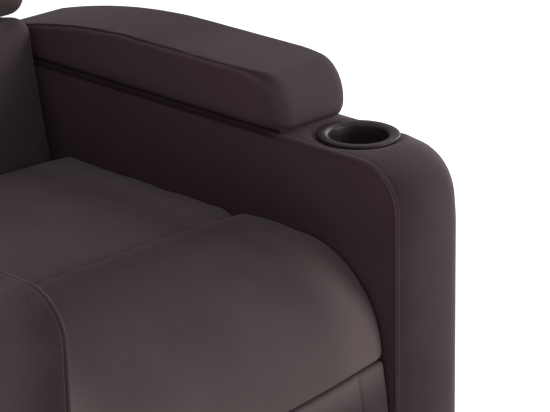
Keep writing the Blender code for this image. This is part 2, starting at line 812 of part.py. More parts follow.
def make_guide_links(chair):
    discs = [(GUIDE_PIVOT, LINK_RADIUS), (GUIDE_KNEE, LINK_RADIUS)]
    for label, side in SIDES.items():
        link = steel_plate(chair, label + "_guide_link", side, "foot_guide", DRIVE_LAYER, discs)
        add_bore(chair, link, side, "foot_guide", GUIDE_PIVOT, DRIVE_LAYER)
        add_bore(chair, link, side, "foot_guide", GUIDE_KNEE, DRIVE_LAYER)


def make_knee_links(chair):
    discs = [(DRIVE_KNEE, LINK_RADIUS), (GUIDE_KNEE, LINK_RADIUS), (FOOT_PIVOT, LINK_RADIUS)]
    for label, side in SIDES.items():
        link = steel_plate(chair, label + "_knee_link", side, "foot_knee", KNEE_LAYER, discs)
        add_pin(chair, link, side, "foot_knee", DRIVE_KNEE, KNEE_LAYER, DRIVE_LAYER)
        add_pin(chair, link, side, "foot_knee", GUIDE_KNEE, KNEE_LAYER, DRIVE_LAYER)
        add_pin(chair, link, side, "foot_knee", FOOT_PIVOT, KNEE_LAYER, BRACKET_LAYER)


def make_control_links(chair):
    discs = [(CONTROL_KNEE, LINK_RADIUS), (CONTROL_END, LINK_RADIUS)]
    for label, side in SIDES.items():
        link = steel_plate(chair, label + "_control_link", side, "foot_control", CONTROL_LAYER, discs)
        add_bore(chair, link, side, "foot_control", CONTROL_KNEE, CONTROL_LAYER)
        add_bore(chair, link, side, "foot_control", CONTROL_END, CONTROL_LAYER)


def make_foot_brackets(chair):
    """Angle brackets between the footrest's board and its two pivots."""
    face = FOOT_PAD_FRONT + FOOT_PAD_THICKNESS + FOOT_BOARD_THICKNESS + 2 * CLEARANCE
    top = CONTROL_END[1]
    outer, inner = layer(BRACKET_LAYER)
    for label, side in SIDES.items():
        edge = face + LINK_RADIUS
        discs = [(FOOT_PIVOT, LINK_RADIUS), (CONTROL_END, LINK_RADIUS)]
        discs += [((edge, top), LINK_RADIUS), ((edge, top - BRACKET_HEIGHT), LINK_RADIUS)]
        name = label + "_footrest_bracket"
        bracket = steel_plate(chair, name, side, "footrest", BRACKET_LAYER, discs)
        low = (side * (outer - CLEARANCE), face, top - BRACKET_HEIGHT)
        high = (side * (outer - BRACKET_FLANGE), face + PLATE, top)
        chair.cut(bracket, "footrest", box(low, high), "UNION")
        add_bore(chair, bracket, side, "footrest", FOOT_PIVOT, BRACKET_LAYER)
        add_pin(chair, bracket, side, "footrest", CONTROL_END, BRACKET_LAYER, CONTROL_LAYER)


def make_foot_board(chair):
    low_y = FOOT_PAD_FRONT + FOOT_PAD_THICKNESS + CLEARANCE
    bottom = FOOT_PAD_BOTTOM + FOOT_BOARD_MARGIN
    top = ROLL_BOTTOM - ROLL_SAG - FOOT_PAD_TOP_GAP - FOOT_BOARD_MARGIN
    low = (-FOOT_BOARD_HALF_WIDTH, low_y, bottom)
    high = (FOOT_BOARD_HALF_WIDTH, low_y + FOOT_BOARD_THICKNESS, top)
    chair.piece("footrest_board", box(low, high), "footrest", "plywood")


def make_foot_pad(chair):
    """Padded front panel whose top edge follows the sag of the seat's roll."""
    half_x = HALF_GAP - FOOT_PAD_GAP
    half_y = FOOT_PAD_THICKNESS / 2
    top = ROLL_BOTTOM - FOOT_PAD_TOP_GAP
    half_z = (top - FOOT_PAD_BOTTOM) / 2
    seam = half_x - FOOT_SEAM_INSET
    shape = soft_block((half_x, half_y, half_z), FOOT_PAD_RADIUS, (12, 1, 5))
    for vert in shape.verts:
        x, y, z = vert.co
        front = (half_y - y) / FOOT_PAD_THICKNESS
        bulge = FOOT_PAD_CROWN * hump(z / half_z) - FOOT_SEAM_DEPTH * groove(abs(x) - seam, FOOT_SEAM_WIDTH)
        sag = ROLL_SAG * hump(x / half_x) * ease((z + half_z) / (2 * half_z))
        vert.co = (
            x,
            FOOT_PAD_FRONT + half_y + y - front * bulge,
            FOOT_PAD_BOTTOM + half_z + z - sag,
        )
    chair.piece("footrest_pad", shape, "footrest", "upholstery", SOFT_EDGE_DEG)


def back_place(along, depth=0):
    """(y, z) of a place on the back, from its height up the slope and its depth behind the hinge line."""
    y = HINGE[0] + along * math.sin(BACK_LEAN) + depth * math.cos(BACK_LEAN)
    z = HINGE[1] + along * math.cos(BACK_LEAN) - depth * math.sin(BACK_LEAN)
    return (y, z)


def lean_back(shape):
    """Turns a mesh built upright, at depth y and height z from the hinge, into its place on the back."""
    place = Matrix.Translation((0, *HINGE)) @ Matrix.Rotation(-BACK_LEAN, 4, "X")
    bmesh.ops.transform(shape, matrix=place, verts=shape.verts[:])
    return shape


def make_back_frame(chair):
    half_depth = BACK_POST_DEPTH / 2
    outer = layer(DRIVE_LAYER)[1] - CLEARANCE
    inner = outer - BACK_POST_WIDTH
    for label, side in SIDES.items():
        discs = [(HINGE, SIDE_PLATE_RADIUS), (back_place(BACK_BRACKET_REACH), LINK_RADIUS)]
        name = label + "_back_bracket"
        bracket = steel_plate(chair, name, side, "backrest", DRIVE_LAYER, discs)
        add_bore(chair, bracket, side, "backrest", HINGE, DRIVE_LAYER)
        low = (side * inner, -half_depth, BACK_POST_BOTTOM)
        high = (side * outer, half_depth, BACK_POST_TOP + BACK_RAIL_HEIGHT)
        chair.piece(label + "_back_post", lean_back(box(low, high)), "backrest", "plywood")
    reach = inner - CLEARANCE
    for name, start in (("lower_back_rail", BACK_RAIL_LOW), ("upper_back_rail", BACK_POST_TOP)):
        low = (-reach, -half_depth, start)
        high = (reach, half_depth, start + BACK_RAIL_HEIGHT)
        chair.piece(name, lean_back(box(low, high)), "backrest", "plywood")


def make_back_cushion(chair, name, bottom, top, half_x):
    """Crowned cushion on the front of the back frame, between two heights up its slope."""
    half_y = BACK_CUSHION_DEPTH / 2
    half_z = (top - bottom) / 2
    back_face = -BACK_POST_DEPTH / 2 - CLEARANCE
    shape = soft_block((half_x, half_y, half_z), BACK_CUSHION_RADIUS, (6, 1, 5))
    for vert in shape.verts:
        x, y, z = vert.co
        front = (half_y - y) / BACK_CUSHION_DEPTH
        bulge = BACK_CUSHION_CROWN * hump(x / half_x) * hump(z / half_z)
        vert.co = (x, back_face - half_y + y - front * bulge, bottom + half_z + z)
    chair.piece(name, lean_back(shape), "backrest", "upholstery", SOFT_EDGE_DEG)


def make_back_cushions(chair):
    narrow = HALF_GAP - BACK_SIDE_GAP
    gap = BACK_CUSHION_GAP / 2
    make_back_cushion(chair, "lumbar_cushion", LUMBAR_BOTTOM, LUMBAR_TOP - gap, narrow)
    make_back_cushion(chair, "middle_cushion", LUMBAR_TOP + gap, MIDDLE_TOP - gap, narrow)
    make_back_cushion(chair, "head_cushion", MIDDLE_TOP + gap, HEAD_TOP, HEAD_HALF_WIDTH)


def cover_outline(inset):
    """Rear view of the back, as (x, height) pairs: narrow between the arms and wide at the head."""
    narrow = HALF_GAP - BACK_SIDE_GAP - COVER_INSET - inset
    wide = HEAD_HALF_WIDTH - COVER_INSET - inset
    radius = COVER_CORNER_RADIUS - inset
    bottom = COVER_BOTTOM + inset
    top = HEAD_TOP - COVER_INSET - inset
    shoulder = MIDDLE_TOP + HALF_CORNER_SHARE * inset
    waist = shoulder - (wide - narrow)
    outline = [(-narrow, bottom), (narrow, bottom), (narrow, waist), (wide, shoulder)]
    outline += arc_points((wide - radius, top - radius), radius, 0, 90, ARC_STEPS)
    outline += arc_points((radius - wide, top - radius), radius, 90, 180, ARC_STEPS)
    outline += [(-wide, shoulder), (-narrow, waist)]
    return outline


def make_back_cover(chair):
    """Padded panel behind the back's posts, round along its rear edges."""
    start = BACK_POST_DEPTH / 2 + CLEARANCE
    sections = [(start, cover_outline(0))]
    for depth, inset in rounded_end(start + COVER_DEPTH, COVER_EDGE_RADIUS, EDGE_STEPS):
        sections.append((depth, cover_outline(inset)))
    shape = loft(sections)
    for vert in shape.verts:
        vert.co = (vert.co.y, vert.co.x, vert.co.z)
    chair.piece("back_cover", lean_back(shape), "backrest", "upholstery", SOFT_EDGE_DEG)


def make_release(chair):
    """Lever outside the right arm, on a shaft through it that ends in the latch."""
    side = SIDES["right"]
    body = "release_handle"
    lever_start = ARM_OUTER + LEVER_STANDOFF
    lever_end = lever_start + LEVER_THICKNESS
    tip = plus(LEVER_PIVOT, LEVER_REACH)
    discs = [(LEVER_PIVOT, LEVER_HUB_RADIUS), (tip, LEVER_TIP_RADIUS)]
    outline = hull_outline(discs, SIDES_LARGE)
    lever = chair.piece("release_lever", prism(outline, side * lever_start, side * lever_end), body, "lever_plastic")
    rounding = lever.modifiers.new("edges", "BEVEL")
    rounding.width = LEVER_EDGE
    rounding.segments = 2
    rounding.limit_method = "ANGLE"
    rounding.angle_limit = math.radians(SOFT_EDGE_DEG)
    nose_outer, nose_inner = layer(SWING_LAYER)
    shaft_start = nose_outer + CLEARANCE
    shaft_end = lever_start - CLEARANCE
    shaft = rod(LEVER_PIVOT, LEVER_SHAFT_RADIUS, side * shaft_start, side * shaft_end, SIDES_LARGE)
    chair.piece("release_shaft", shaft, body, "steel")
    discs = [(LEVER_PIVOT, PAWL_RADIUS), (NOSE, NOSE_RADIUS)]
    steel_plate(chair, "latch_pawl", side, body, SWING_LAYER, discs)
    collar_start = ARM_OUTER + CLEARANCE
    collar_end = lever_start - PLATE_GAP
    bore = LEVER_SHAFT_RADIUS + CLEARANCE
    collar = pipe(LEVER_PIVOT, COLLAR_RADIUS, COLLAR_RADIUS - bore, -collar_end, -collar_start)
    chair.piece("lever_collar", collar, "base", "lever_plastic")


def set_origin_in_the_middle(chair):
    """Moves the whole chair so that the frame's origin lies on the floor under the middle of its box."""
    bpy.context.view_layer.update()
    depsgraph = bpy.context.evaluated_depsgraph_get()
    corners = []
    for thing in bpy.data.objects:
        if thing.type in ("MESH", "CURVE") and not thing.hide_render:
            shown = thing.evaluated_get(depsgraph)
            mesh = shown.to_mesh()
            points = np.empty(len(mesh.vertices) * 3, np.float32)
            mesh.vertices.foreach_get("co", points)
            places = points.reshape(-1, 3) + np.array(thing.matrix_world.translation)
            corners += [places.min(0), places.max(0)]
            shown.to_mesh_clear()
    low = np.min(corners, axis=0)
    high = np.max(corners, axis=0)
    middle = (low + high) / 2
    chair.root.location = (-middle[0], -middle[1], -low[2])


def main():
    clear_scene()
    chair = Chair()
    make_arms(chair)
    make_base(chair)
    make_swing_links(chair)
    make_side_plates(chair)
    make_seat_rails(chair)
    make_seat_springs(chair)
    make_seat_cushion(chair)
    make_drive_links(chair)
    make_guide_links(chair)
    make_knee_links(chair)
    make_control_links(chair)
    make_foot_brackets(chair)
    make_foot_board(chair)
    make_foot_pad(chair)
    make_back_frame(chair)
    make_back_cushions(chair)
    make_back_cover(chair)
    make_release(chair)
    set_origin_in_the_middle(chair)


if __name__ == "__main__":
    main()
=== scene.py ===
"""Looks of a manual recliner chair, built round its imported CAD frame.

Places are (x, y, z) from the chair's middle plane, the plane of the arms' front, and the floor, in metres.
The chair faces -Y and the sitter's left is +X.
"""

import math

import bmesh
import bpy
import numpy as np
from mathutils import Matrix, Vector


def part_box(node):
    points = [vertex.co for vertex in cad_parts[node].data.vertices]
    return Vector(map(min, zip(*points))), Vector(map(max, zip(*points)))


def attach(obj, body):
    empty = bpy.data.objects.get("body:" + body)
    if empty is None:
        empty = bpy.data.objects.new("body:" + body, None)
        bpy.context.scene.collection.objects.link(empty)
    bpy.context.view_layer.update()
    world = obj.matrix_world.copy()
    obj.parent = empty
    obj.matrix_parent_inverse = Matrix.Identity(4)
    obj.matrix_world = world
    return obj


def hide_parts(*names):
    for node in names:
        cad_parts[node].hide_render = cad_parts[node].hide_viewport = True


bl_info = {
    "name": "Recliner Chair",
    "version": (1, 0, 0),
    "blender": (4, 5, 0),
    "location": "View3D > Sidebar > Chair",
    "description": "Dresses the recliner's frame in fabric, foam, steel, wood and plastic",
    "category": "Object",
}

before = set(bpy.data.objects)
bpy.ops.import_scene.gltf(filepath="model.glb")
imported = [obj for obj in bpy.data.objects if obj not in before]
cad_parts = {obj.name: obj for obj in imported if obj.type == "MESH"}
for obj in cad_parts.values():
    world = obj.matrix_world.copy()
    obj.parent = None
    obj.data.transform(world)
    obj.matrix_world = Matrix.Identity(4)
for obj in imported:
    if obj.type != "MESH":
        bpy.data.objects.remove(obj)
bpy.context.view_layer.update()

MM = 0.001

# Ripples: how many sines, and between which shares of the pitch theirs are
RIPPLE_COUNT = 7
RIPPLE_SPREAD = (0.7, 1.6)

# Arms
HALF_GAP = 0.268
ARM_WIDTH = 0.145
ARM_LENGTH = 0.765
ARM_TOP = 0.580
ARM_BOTTOM = 0.035
ARM_FRONT_RADIUS = 0.062
ARM_REAR_RADIUS = 0.055
ARM_SIDE_ROUND = 0.045
ARM_TOP_ROUND = 0.028
ARM_END_ROUND = 0.060
ARM_FRONT_LEAN = 0.012
ARM_MIDDLE = HALF_GAP + ARM_WIDTH / 2
ARM_TOP_REACH = 0.012
ARM_SKIN = 0.0026
ARM_WAVES = ((0.110, 3, 0.0007), (0.045, 5, 0.0003))
END_LAG = ARM_END_ROUND - ARM_TOP_ROUND

# Steps along an arm's side view: front, corner, top beside the cup holder, rest of the top, corner, rear
ARM_LINE_STEPS = (60, 20, 40, 52, 18, 50)

# The outer corner of an arm's front: how far it droops and draws back, and where it starts
SHOULDER_DROOP = 0.0054
SHOULDER_DRAW = 0.0034
SHOULDER_START = 0.012
SHOULDER_REACH = 0.045
SHOULDER_REAR = 0.115
SHOULDER_LENGTH = 0.075
SHOULDER_LOW = 0.48
SHOULDER_HEIGHT = 0.06
SHOULDER_CLEAR = 0.02

# Band over an arm's front, top and rear, and the panels on both sides of it
BAND_CROWN = 0.0016
BAND_START = 0.016
BAND_STOP = 0.003
BAND_ROWS = 19
ROUND_ROWS = 14
PANEL_BULGE = 0.0035
PANEL_BULGE_REACH = 0.05
PANEL_LOW_REACH = 0.12
INNER_BULGE_SHARE = 0.45
INNER_BULGE_RISE = (0.47, 0.06)

# Rows of a panel, by their inset from its edge
INNER_PANEL_ROWS = (*np.arange(0.354, 0.034, -0.016), 0.026, 0.018, 0.012, 0.008)
OUTER_PANEL_ROWS = (0.080, 0.090, *np.arange(0.104, 0.360, 0.016))

# Inner seam with its piped edge and the fine line beside it: across, front and rear inset, top inset, in mm
INNER_SEAM_MM = (
    (0.0, 5.0, 5.0),
    (0.0, 3.4, 3.4),
    (0.2, 2.3, 2.3),
    (0.7, 1.3, 1.3),
    (1.4, 0.8, 0.8),
    (2.1, 0.9, 0.5),
    (2.7, 0.3, 0.3),
    (3.8, 0.0, 0.1),
    (5.4, -0.1, 0.0),
    (7.0, 0.1, 0.0),
    (7.7, 0.8, 0.1),
    (8.4, 0.8, 0.1),
    (9.4, 0.1, -0.1),
    (12.0, -0.3, -0.3),
)

# Outer seam: inset past the band's round edge, and depth, in mm
OUTER_SEAM_MM = ((2.0, 0.0), (3.4, -1.4), (4.6, -2.0), (5.8, -0.8), (8.0, 0.0), (12.0, 0.3))

# Topstitching on the arms: places across and insets
INNER_STITCH_ACROSS = 0.0102
INNER_STITCH_LIFT = 0.0001
INNER_STITCH_TOP = ARM_TOP - 0.6 * ARM_FRONT_RADIUS
OUTER_STITCH_INSET = ARM_END_ROUND + 0.0095
OUTER_STITCH_LIFT = 0.0003

# Arm pads, each a strip between two side panels, with (inset, height) places at its rear's foot
PAD_FRONT = 0.190
PAD_LENGTH = 0.562
PAD_HEIGHT = 0.072
PAD_INNER = 0.2695
PAD_OUTER = 0.4040
PAD_CORNER_RADIUS = 0.032
PAD_CORNER_REACH = 0.110
PAD_DRAW = 0.0030
PAD_DRAW_REACH = 0.020
PAD_DRAW_SHARE = 0.14
PAD_TAIL = 0.300
PAD_TAIL_DROP = 0.044
PAD_NOSE_REACH = 0.048
PAD_NOSE_DRAW = 0.004
PAD_NOSE_FULLNESS = 0.92
PAD_NOSE_ROUND = (0.012, 0.075)
PAD_BELLY_HEIGHT = 0.018
PAD_EDGE_ROUND = 0.0075
PAD_CORNER_ROUND = 0.021
PAD_UNDER_ROUND = 0.004
PAD_REAR_RADIUS = 0.012
PAD_REAR_GAP = 0.002
PAD_REAR_FOOT_MM = ((1.0, 8.0), (3.0, 2.0))
PAD_UNDER_INSET = 0.006
PAD_UNDER_WAY = -0.7
PAD_REST = 0.0006
PAD_SPINE_FRONT = 0.030
PAD_SPINE_REAR = 0.018
PAD_SEAM_TURN = 50
PAD_EDGE_TURNS = (0, 14, 28, 40, 48, 56, 64, 76)
PAD_EDGE_FREE = 0.15
PAD_MIDDLE = (PAD_OUTER + PAD_INNER) / 2
PAD_HALF = (PAD_OUTER - PAD_INNER) / 2
PAD_RIM_SHARE = 0.5
PAD_FALL_POWER = 1.5
PAD_TOP_ROWS = 13
PAD_TOP_STEPS = 52
PAD_UNDER_STEPS = 56
PAD_BELLY_STEPS = 6
PAD_NOSE_STEPS = 15
PAD_REAR_STEPS = 5
PAD_NOSE_TURN = 88
PAD_PUCKERS = ((0.050, 11, 0.0012), (0.016, 12, 0.0009))
PAD_PUCKER_RISE = (-0.020, 0.012)
PAD_PUCKER_LOW = 0.020
PAD_OUTER_PUCKER_SHARE = 0.2
PAD_INNER_SWELL = 0.0012
PAD_OUTER_SWELL = 0.006

# Seams of a pad's inner side, -1, and outer side, 1: depth, and width in degrees of the round edge
PAD_SEAMS = {-1: (0.0006, 13), 1: (0.0008, 9)}

# Rows of a pad's side panels: share of the way to the spine, and how free they are to swell
PAD_SIDE_ROWS = ((1.0, 1.0), (0.66, 1.0), (0.36, 1.0), (0.14, 0.6))

# Cup holders
CUP_PLACE = 0.127
CUP_FLANGE_RADIUS = 0.053
CUP_FLANGE_HEIGHT = 0.0026
CUP_FLANGE_SINK = 0.0036
CUP_MOUTH_RADIUS = 0.0385
CUP_BASE_RADIUS = 0.033
CUP_DEPTH = 0.072
CUP_WALL = 0.0025
CUP_HOLE_RADIUS = 0.0465
CUP_HOLE_MARGIN = 0.0025
CUP_RIM_MARGIN = 0.004
CUP_DIP = 0.0040
CUP_DIP_MARGIN = 0.001
CUP_DIP_WIDTH = 0.012
CUP_CLOTH_DEPTH = 0.030
CUP_SIDES = 96
CUP_FILLET_STEPS = 6
CUP_UNDER = CUP_FLANGE_HEIGHT + CUP_FLANGE_SINK

# Corners of a cup holder's profile: radius, depth below the flange's top, and fillet
CUP_CORNERS = (
    (0, CUP_DEPTH + CUP_WALL, 0),
    (CUP_BASE_RADIUS + CUP_WALL, CUP_DEPTH + CUP_WALL, 3 * MM),
    (CUP_MOUTH_RADIUS + CUP_WALL, CUP_UNDER, 0),
    (CUP_FLANGE_RADIUS, CUP_UNDER, 0),
    (CUP_FLANGE_RADIUS, 0.4 * MM, 2.2 * MM),
    (CUP_FLANGE_RADIUS - 7 * MM, 0, 3 * MM),
    (CUP_MOUTH_RADIUS + 3.5 * MM, 0.8 * MM, 2 * MM),
    (CUP_MOUTH_RADIUS, 3 * MM, 2.2 * MM),
    (CUP_MOUTH_RADIUS - 1.2 * MM, 12 * MM, 2 * MM),
    (CUP_BASE_RADIUS, CUP_DEPTH, 6 * MM),
    (12 * MM, CUP_DEPTH, 0),
    (10 * MM, CUP_DEPTH - 0.6 * MM, 0),
    (0, CUP_DEPTH - 0.6 * MM, 0),
)

# Seat
SEAT_HALF = 0.2665
SEAT_TOP = 0.466
SEAT_THICKNESS = 0.094
SEAT_REAR = 0.590
SEAT_EDGE_RADIUS = 0.008
SEAT_GRID = 0.0095
SEAT_SIDE_SLACK = 0.0008
SEAT_CROWN = 0.008
SEAT_WAVES = ((0.16, 21, 0.0012), (0.06, 22, 0.0004))
ROLL_RADIUS = 0.136
ROLL_CENTRE = 0.150
ROLL_SAG = 0.020
ROLL_MIDDLE_RADIUS = ROLL_RADIUS - SEAT_THICKNESS / 2
ROLL_BOTTOM = SEAT_TOP - ROLL_RADIUS
SEAT_STRAIGHT = SEAT_REAR - ROLL_CENTRE
SEAT_LENGTH = SEAT_STRAIGHT + ROLL_MIDDLE_RADIUS * math.pi / 2
SEAM_PLACE = 0.268
SEAM_DEPTH = 0.008
SEAM_WIDTH = 0.015
SEAM_TRAVEL = SEAT_REAR - SEAM_PLACE
CREASE_DEPTH = 0.0012
CREASE_WIDTH = 0.0035
REAR_PANEL_DROP = 0.006

# Puckers beside the seat's cross seam and beside the arms: direction, pitch, seed and height
SEAM_PLEATS = ((1.0, 0.15, 0.0), 0.024, 23, 0.0022)
SEAM_PLEAT_REACH = 0.016
SIDE_PLEATS = ((0.2, 1.0, 0.0), 0.022, 24, 0.0026)
SIDE_PLEAT_RISE = (-0.035, 0.030)

# Where the seat is held while it is inflated: (start, reach) from each edge, and the seam's width
SEAT_UNDER_HOLD = (0.010, 0.020)
SEAT_SIDE_HOLD = (-0.006, 0.006)
SEAT_REAR_HOLD = (-0.030, 0.020)
SEAT_ROLL_HOLD = (-0.034, 0.028)
SEAM_HOLD = 0.006

# Footrest
FOOT_HALF = 0.2645
FOOT_BOTTOM = 0.076
FOOT_FRONT = 0.008
FOOT_THICKNESS = 0.047
FOOT_RADIUS = 0.005
FOOT_GRID = 0.009
FOOT_CROWN = 0.008
FOOT_DRAW = 0.0045
FOOT_DRAW_REACH = 0.040
FOOT_TOP_GAP = 0.0012
FOOT_HALF_HEIGHT = (ROLL_BOTTOM - FOOT_TOP_GAP - FOOT_BOTTOM) / 2
FOOT_SEAM_INSET = 0.047
FOOT_SEAM = FOOT_HALF - FOOT_SEAM_INSET
FOOT_SEAM_GROOVES = ((0.0020, 0.0024), (0.0006, 0.012))
FOOT_STITCH_OFFSET = 0.0055
FOOT_STITCH_END = 0.020
FOOT_STITCH_LIFT = 0.0001
FOOT_STITCH_PLACES = 60
FOOT_WAVES = ((0.13, 31, 0.0008), (0.05, 32, 0.0003))
FOOT_BACK_HOLD = (-0.004, 0.012)
FOOT_END_HOLD = (-0.008, 0.006)
FOOT_EDGE_HOLD = (-0.026, 0.022)
FOOT_SEAM_HOLD = 0.005

# How far from a path the surface under a stitch is looked for
SEEK_START = 0.05
SEEK_REACH = 0.12

# Cloth edge round the footrest's board: corner radius, spacing, thickness, and (outwards, depth) across it
WRAP_RADIUS = 0.004
WRAP_SPACING = 0.020
WRAP_THICKNESS = 0.0012
WRAP_CORNER_STEPS = 6
WRAP_FRONT_MM = ((0.6, -1.0), (1.8, 4.0))
WRAP_REAR_MM = ((1.8, 0.0), (0.8, 1.4), (-1.5, 1.8), (-6.0, 1.4))

# Back, up its own slope from the hinge
HINGE = (0.692, 0.340)
BACK_LEAN = math.radians(12)
BACK_FACE = -0.0153
BACK_DEPTH = 0.094
BACK_CROWN = 0.012
BACK_DRAW = 0.004
BACK_DRAW_LEVEL = 1.2
BACK_EDGE_RADIUS = 0.026
BACK_GRID = 0.0105
BACK_REAR_HOLD = (-0.014, 0.010)
BACK_EDGE_HOLD = (-0.004, 0.003)
BACK_HALF = 0.2625
HEAD_HALF = 0.300
BACK_GAP = 0.001
LUMBAR_BOTTOM = 0.045
LUMBAR_TOP = 0.296
MIDDLE_TOP = 0.494
HEAD_TOP = 0.700
BACK_WAVES = ((0.15, 0, 0.0015), (0.055, 1, 0.0005))

# Each back cushion's bottom, top, half width and seed
BACK_CUSHIONS = {
    "lumbar_cushion": (LUMBAR_BOTTOM, LUMBAR_TOP - BACK_GAP, BACK_HALF, 41),
    "middle_cushion": (LUMBAR_TOP + BACK_GAP, MIDDLE_TOP - BACK_GAP, BACK_HALF, 43),
    "head_cushion": (MIDDLE_TOP + BACK_GAP, HEAD_TOP, HEAD_HALF, 45),
}

# Padded panel behind the back frame
COVER_START = 0.0153
COVER_DEPTH = 0.030
COVER_INSET = 0.006
COVER_BOTTOM = -0.150
COVER_TOP = HEAD_TOP - COVER_INSET
COVER_EDGE_RADIUS = 0.018
COVER_CORNER_RADIUS = 0.055
COVER_NARROW = BACK_HALF - COVER_INSET
COVER_WIDE = HEAD_HALF - COVER_INSET
COVER_WAIST = MIDDLE_TOP - (COVER_WIDE - COVER_NARROW)
COVER_EDGE_ROWS_MM = (0.0, 0.3, 1.2, 2.8, 5.0, 8.0, 11.5, 15.0, 18.0, 20.5, 21.8, 23.0, 24.2, 26.5, 31.0)
COVER_MIDDLE_START = 0.044
COVER_MIDDLE_SHARE = 0.83
COVER_SEAM_INSET = 0.0224
COVER_SEAM_DEPTH = 0.0024
COVER_SEAM_WIDTH = 0.0016
COVER_CROWN = 0.004
COVER_CROWN_RISE = (0.024, 0.120)
COVER_ROWS = 56
COVER_COLUMNS = 34
COVER_BOTTOM_STEPS = 40
COVER_SIDE_STEPS = 60
COVER_WAIST_STEPS = 6
COVER_HEAD_STEPS = 14
COVER_CORNER_STEPS = 12
COVER_TOP_STEPS = 40
COVER_WAVES = ((0.2, 61, 0.0016), (0.07, 62, 0.0005))
COVER_WAVE_REACH = 0.06

# Cloth round the sides and top of the back frame, with the (outwards, depth) places across its lip,
# and the lining under its cushions
BOXING_BOTTOM = 0.165
BOXING_FRONT = BACK_FACE - 0.0004
BOXING_LIP_MM = ((-12.5, -1.2), (-9.5, -0.8), (-6.0, 0.0), (-3.0, 1.2))
BOXING_SIDE_START = 0.004
BOXING_CROWN = 0.0010
BOXING_CROWN_REACH = 0.016
BOXING_THICKNESS = 0.0018
BOXING_ROWS = 8
LINING_INSET = 0.011
LINING_LIFT = 0.0009
LINING_ROWS = 34
LINING_COLUMNS = 9

# Where the painted light and shade starts and how far it takes, as (start, reach) along or across a piece
ABOVE_SEAT = (0.46, 0.09)
UNDER_PAD_HEIGHT = (-0.012, 0.008)
UNDER_PAD_LENGTH = (-0.005, 0.040)
BAND_TOP_SHADE = (-0.030, 0.030)
BAND_TUCKED_SHADE = (0.010, 0.020)
BAND_EDGE_SHADE = (0.0008, 0.0026)
BEAD_PLACE = 0.005
BEAD_WIDTH = 0.004
SHADE_TINT_START = 0.001
SHADE_TINT_START_TUCKED = 0.012
SHADE_TINT_REACH = 0.004
PAD_NOSE_SHADE = (0.010, 0.050)
PAD_REAR_SHADE = (0.100, 0.250)
PAD_SIDE_SHADE = (0.0006, 0.0050)
PAD_FOOT_SHADE = (0.002, 0.010)
SEAT_ARM_SHADE = (-0.10, 0.09)
SEAT_FRONT_SHADE = (0.36, 0.24)
ROLL_SHADE = (SEAM_TRAVEL, 0.05)
ROLL_LOW_SHADE = (0.50, 0.07)
FOOT_TOP_SHADE = (-0.05, 0.05)

# How tightly each padded piece is filled, from 0, slack, to 1, tight
ARM_FILL_SHARE = 0.4
PAD_FILL_SHARE = 0.75
SEAT_FILL_SHARE = 0.7
FOOT_FILL_SHARE = 0.6
WRAP_FILL_SHARE = 0.2
BACK_FILL_SHARE = 0.75
COVER_FILL_SHARE = 0.5
BOXING_FILL_SHARE = 0.3

# Painted light and shade, set down as the lie of the cloth's nap, from 0, dark, to 1, light: on a piece, and
# added at the places named
PAINTED_LIGHT_SHARE = 0.77
ARM_INNER_PAINTED_LIGHT = 0.46
ARM_INNER_PAINTED_LIGHT_HIGH = 0.22
ARM_OUTER_PAINTED_LIGHT = 0.60
BAND_PAINTED_LIGHT = -0.08
BAND_PAINTED_LIGHT_ACROSS = 0.64
BAND_PAINTED_LIGHT_BEAD = 0.12
BAND_PAINTED_LIGHT_TOP = 0.16
BAND_PAINTED_SHADE_TUCKED = -0.16
BEAD_FADE_TOP = 2.5
BAND_EDGE_PAINTED_LIGHT = 0.40
BAND_EDGE_PAINTED_LIGHT_HIGH = 0.18
PAD_PAINTED_LIGHT = 0.16
PAD_PAINTED_LIGHT_ACROSS = 0.10
PAD_PAINTED_LIGHT_NOSE = 0.26
PAD_PAINTED_SHADE_REAR = -0.34
PAD_PAINTED_SHADE_FOOT = -0.35
PAD_SIDE_PAINTED_LIGHT = 1.12
PAD_SIDE_FADE_NOSE = 0.5
PAD_SHADE_TINT_FADE_NOSE = 0.7
SEAT_PAINTED_LIGHT = 0.68
SEAT_PAINTED_SHADE_ROLL = -0.47
SEAT_PAINTED_LIGHT_FRONT = 0.45
SEAT_PAINTED_LIGHT_ARM = 0.80
SEAT_PAINTED_LIGHT_ARM_ROLL = -0.10
SEAT_PAINTED_LIGHT_ARM_LOW = -0.30
FOOT_PAINTED_LIGHT = 0.10
FOOT_PAINTED_LIGHT_FRONT = 0.08
FOOT_PAINTED_LIGHT_TOP = 0.72
BACK_PAINTED_LIGHT = 0.30
BACK_PAINTED_LIGHT_FRONT = 0.25
HEM_PAINTED_LIGHT = 0.45

# Soft blocks: rows in a round edge and beside a seam, and how near corners are the same
ROUND_STEPS = 3
SEAM_ROW = 0.0016
CAGE_MERGE = 0.001 * MM
CORNER_MERGE = 0.02 * MM

# Cloth that is inflated
PUFF_FRAMES = 16
PUFF_PRESSURE = 4.0
PAD_PRESSURE = 5.0
PAD_SWELL = 0.0045
SEAT_SWELL = 0.007
FOOT_SWELL = 0.005
BACK_SWELL = 0.008
CLOTH = {
    "quality": 4,
    "mass": 0.25,
    "tension_stiffness": 12,
    "compression_stiffness": 12,
    "shear_stiffness": 6,
    "bending_stiffness": 0.8,
    "air_damping": 2,
    "use_pressure": True,
    "vertex_group_mass": "held",
    "pin_stiffness": 5,
}

# Steel: the x of the first layer's outer face, a layer's pitch and its thickness
PLATE_OUTER = HALF_GAP - 0.0003
LAYER_PITCH = 0.004
PLATE = 0.003

# Softened edges, and the base plates' screws
STEEL_EDGE = 0.5 * MM
SHAFT_EDGE = 0.6 * MM
COLLAR_EDGE = 0.8 * MM
WOOD_EDGE = 1.0 * MM
SCREW_RADIUS = 5.0 * MM
SCREW_HEIGHT = 2.0 * MM
SCREW_LEVEL = 0.078
SCREW_PLACES = (0.150, 0.300, 0.520, 0.685)

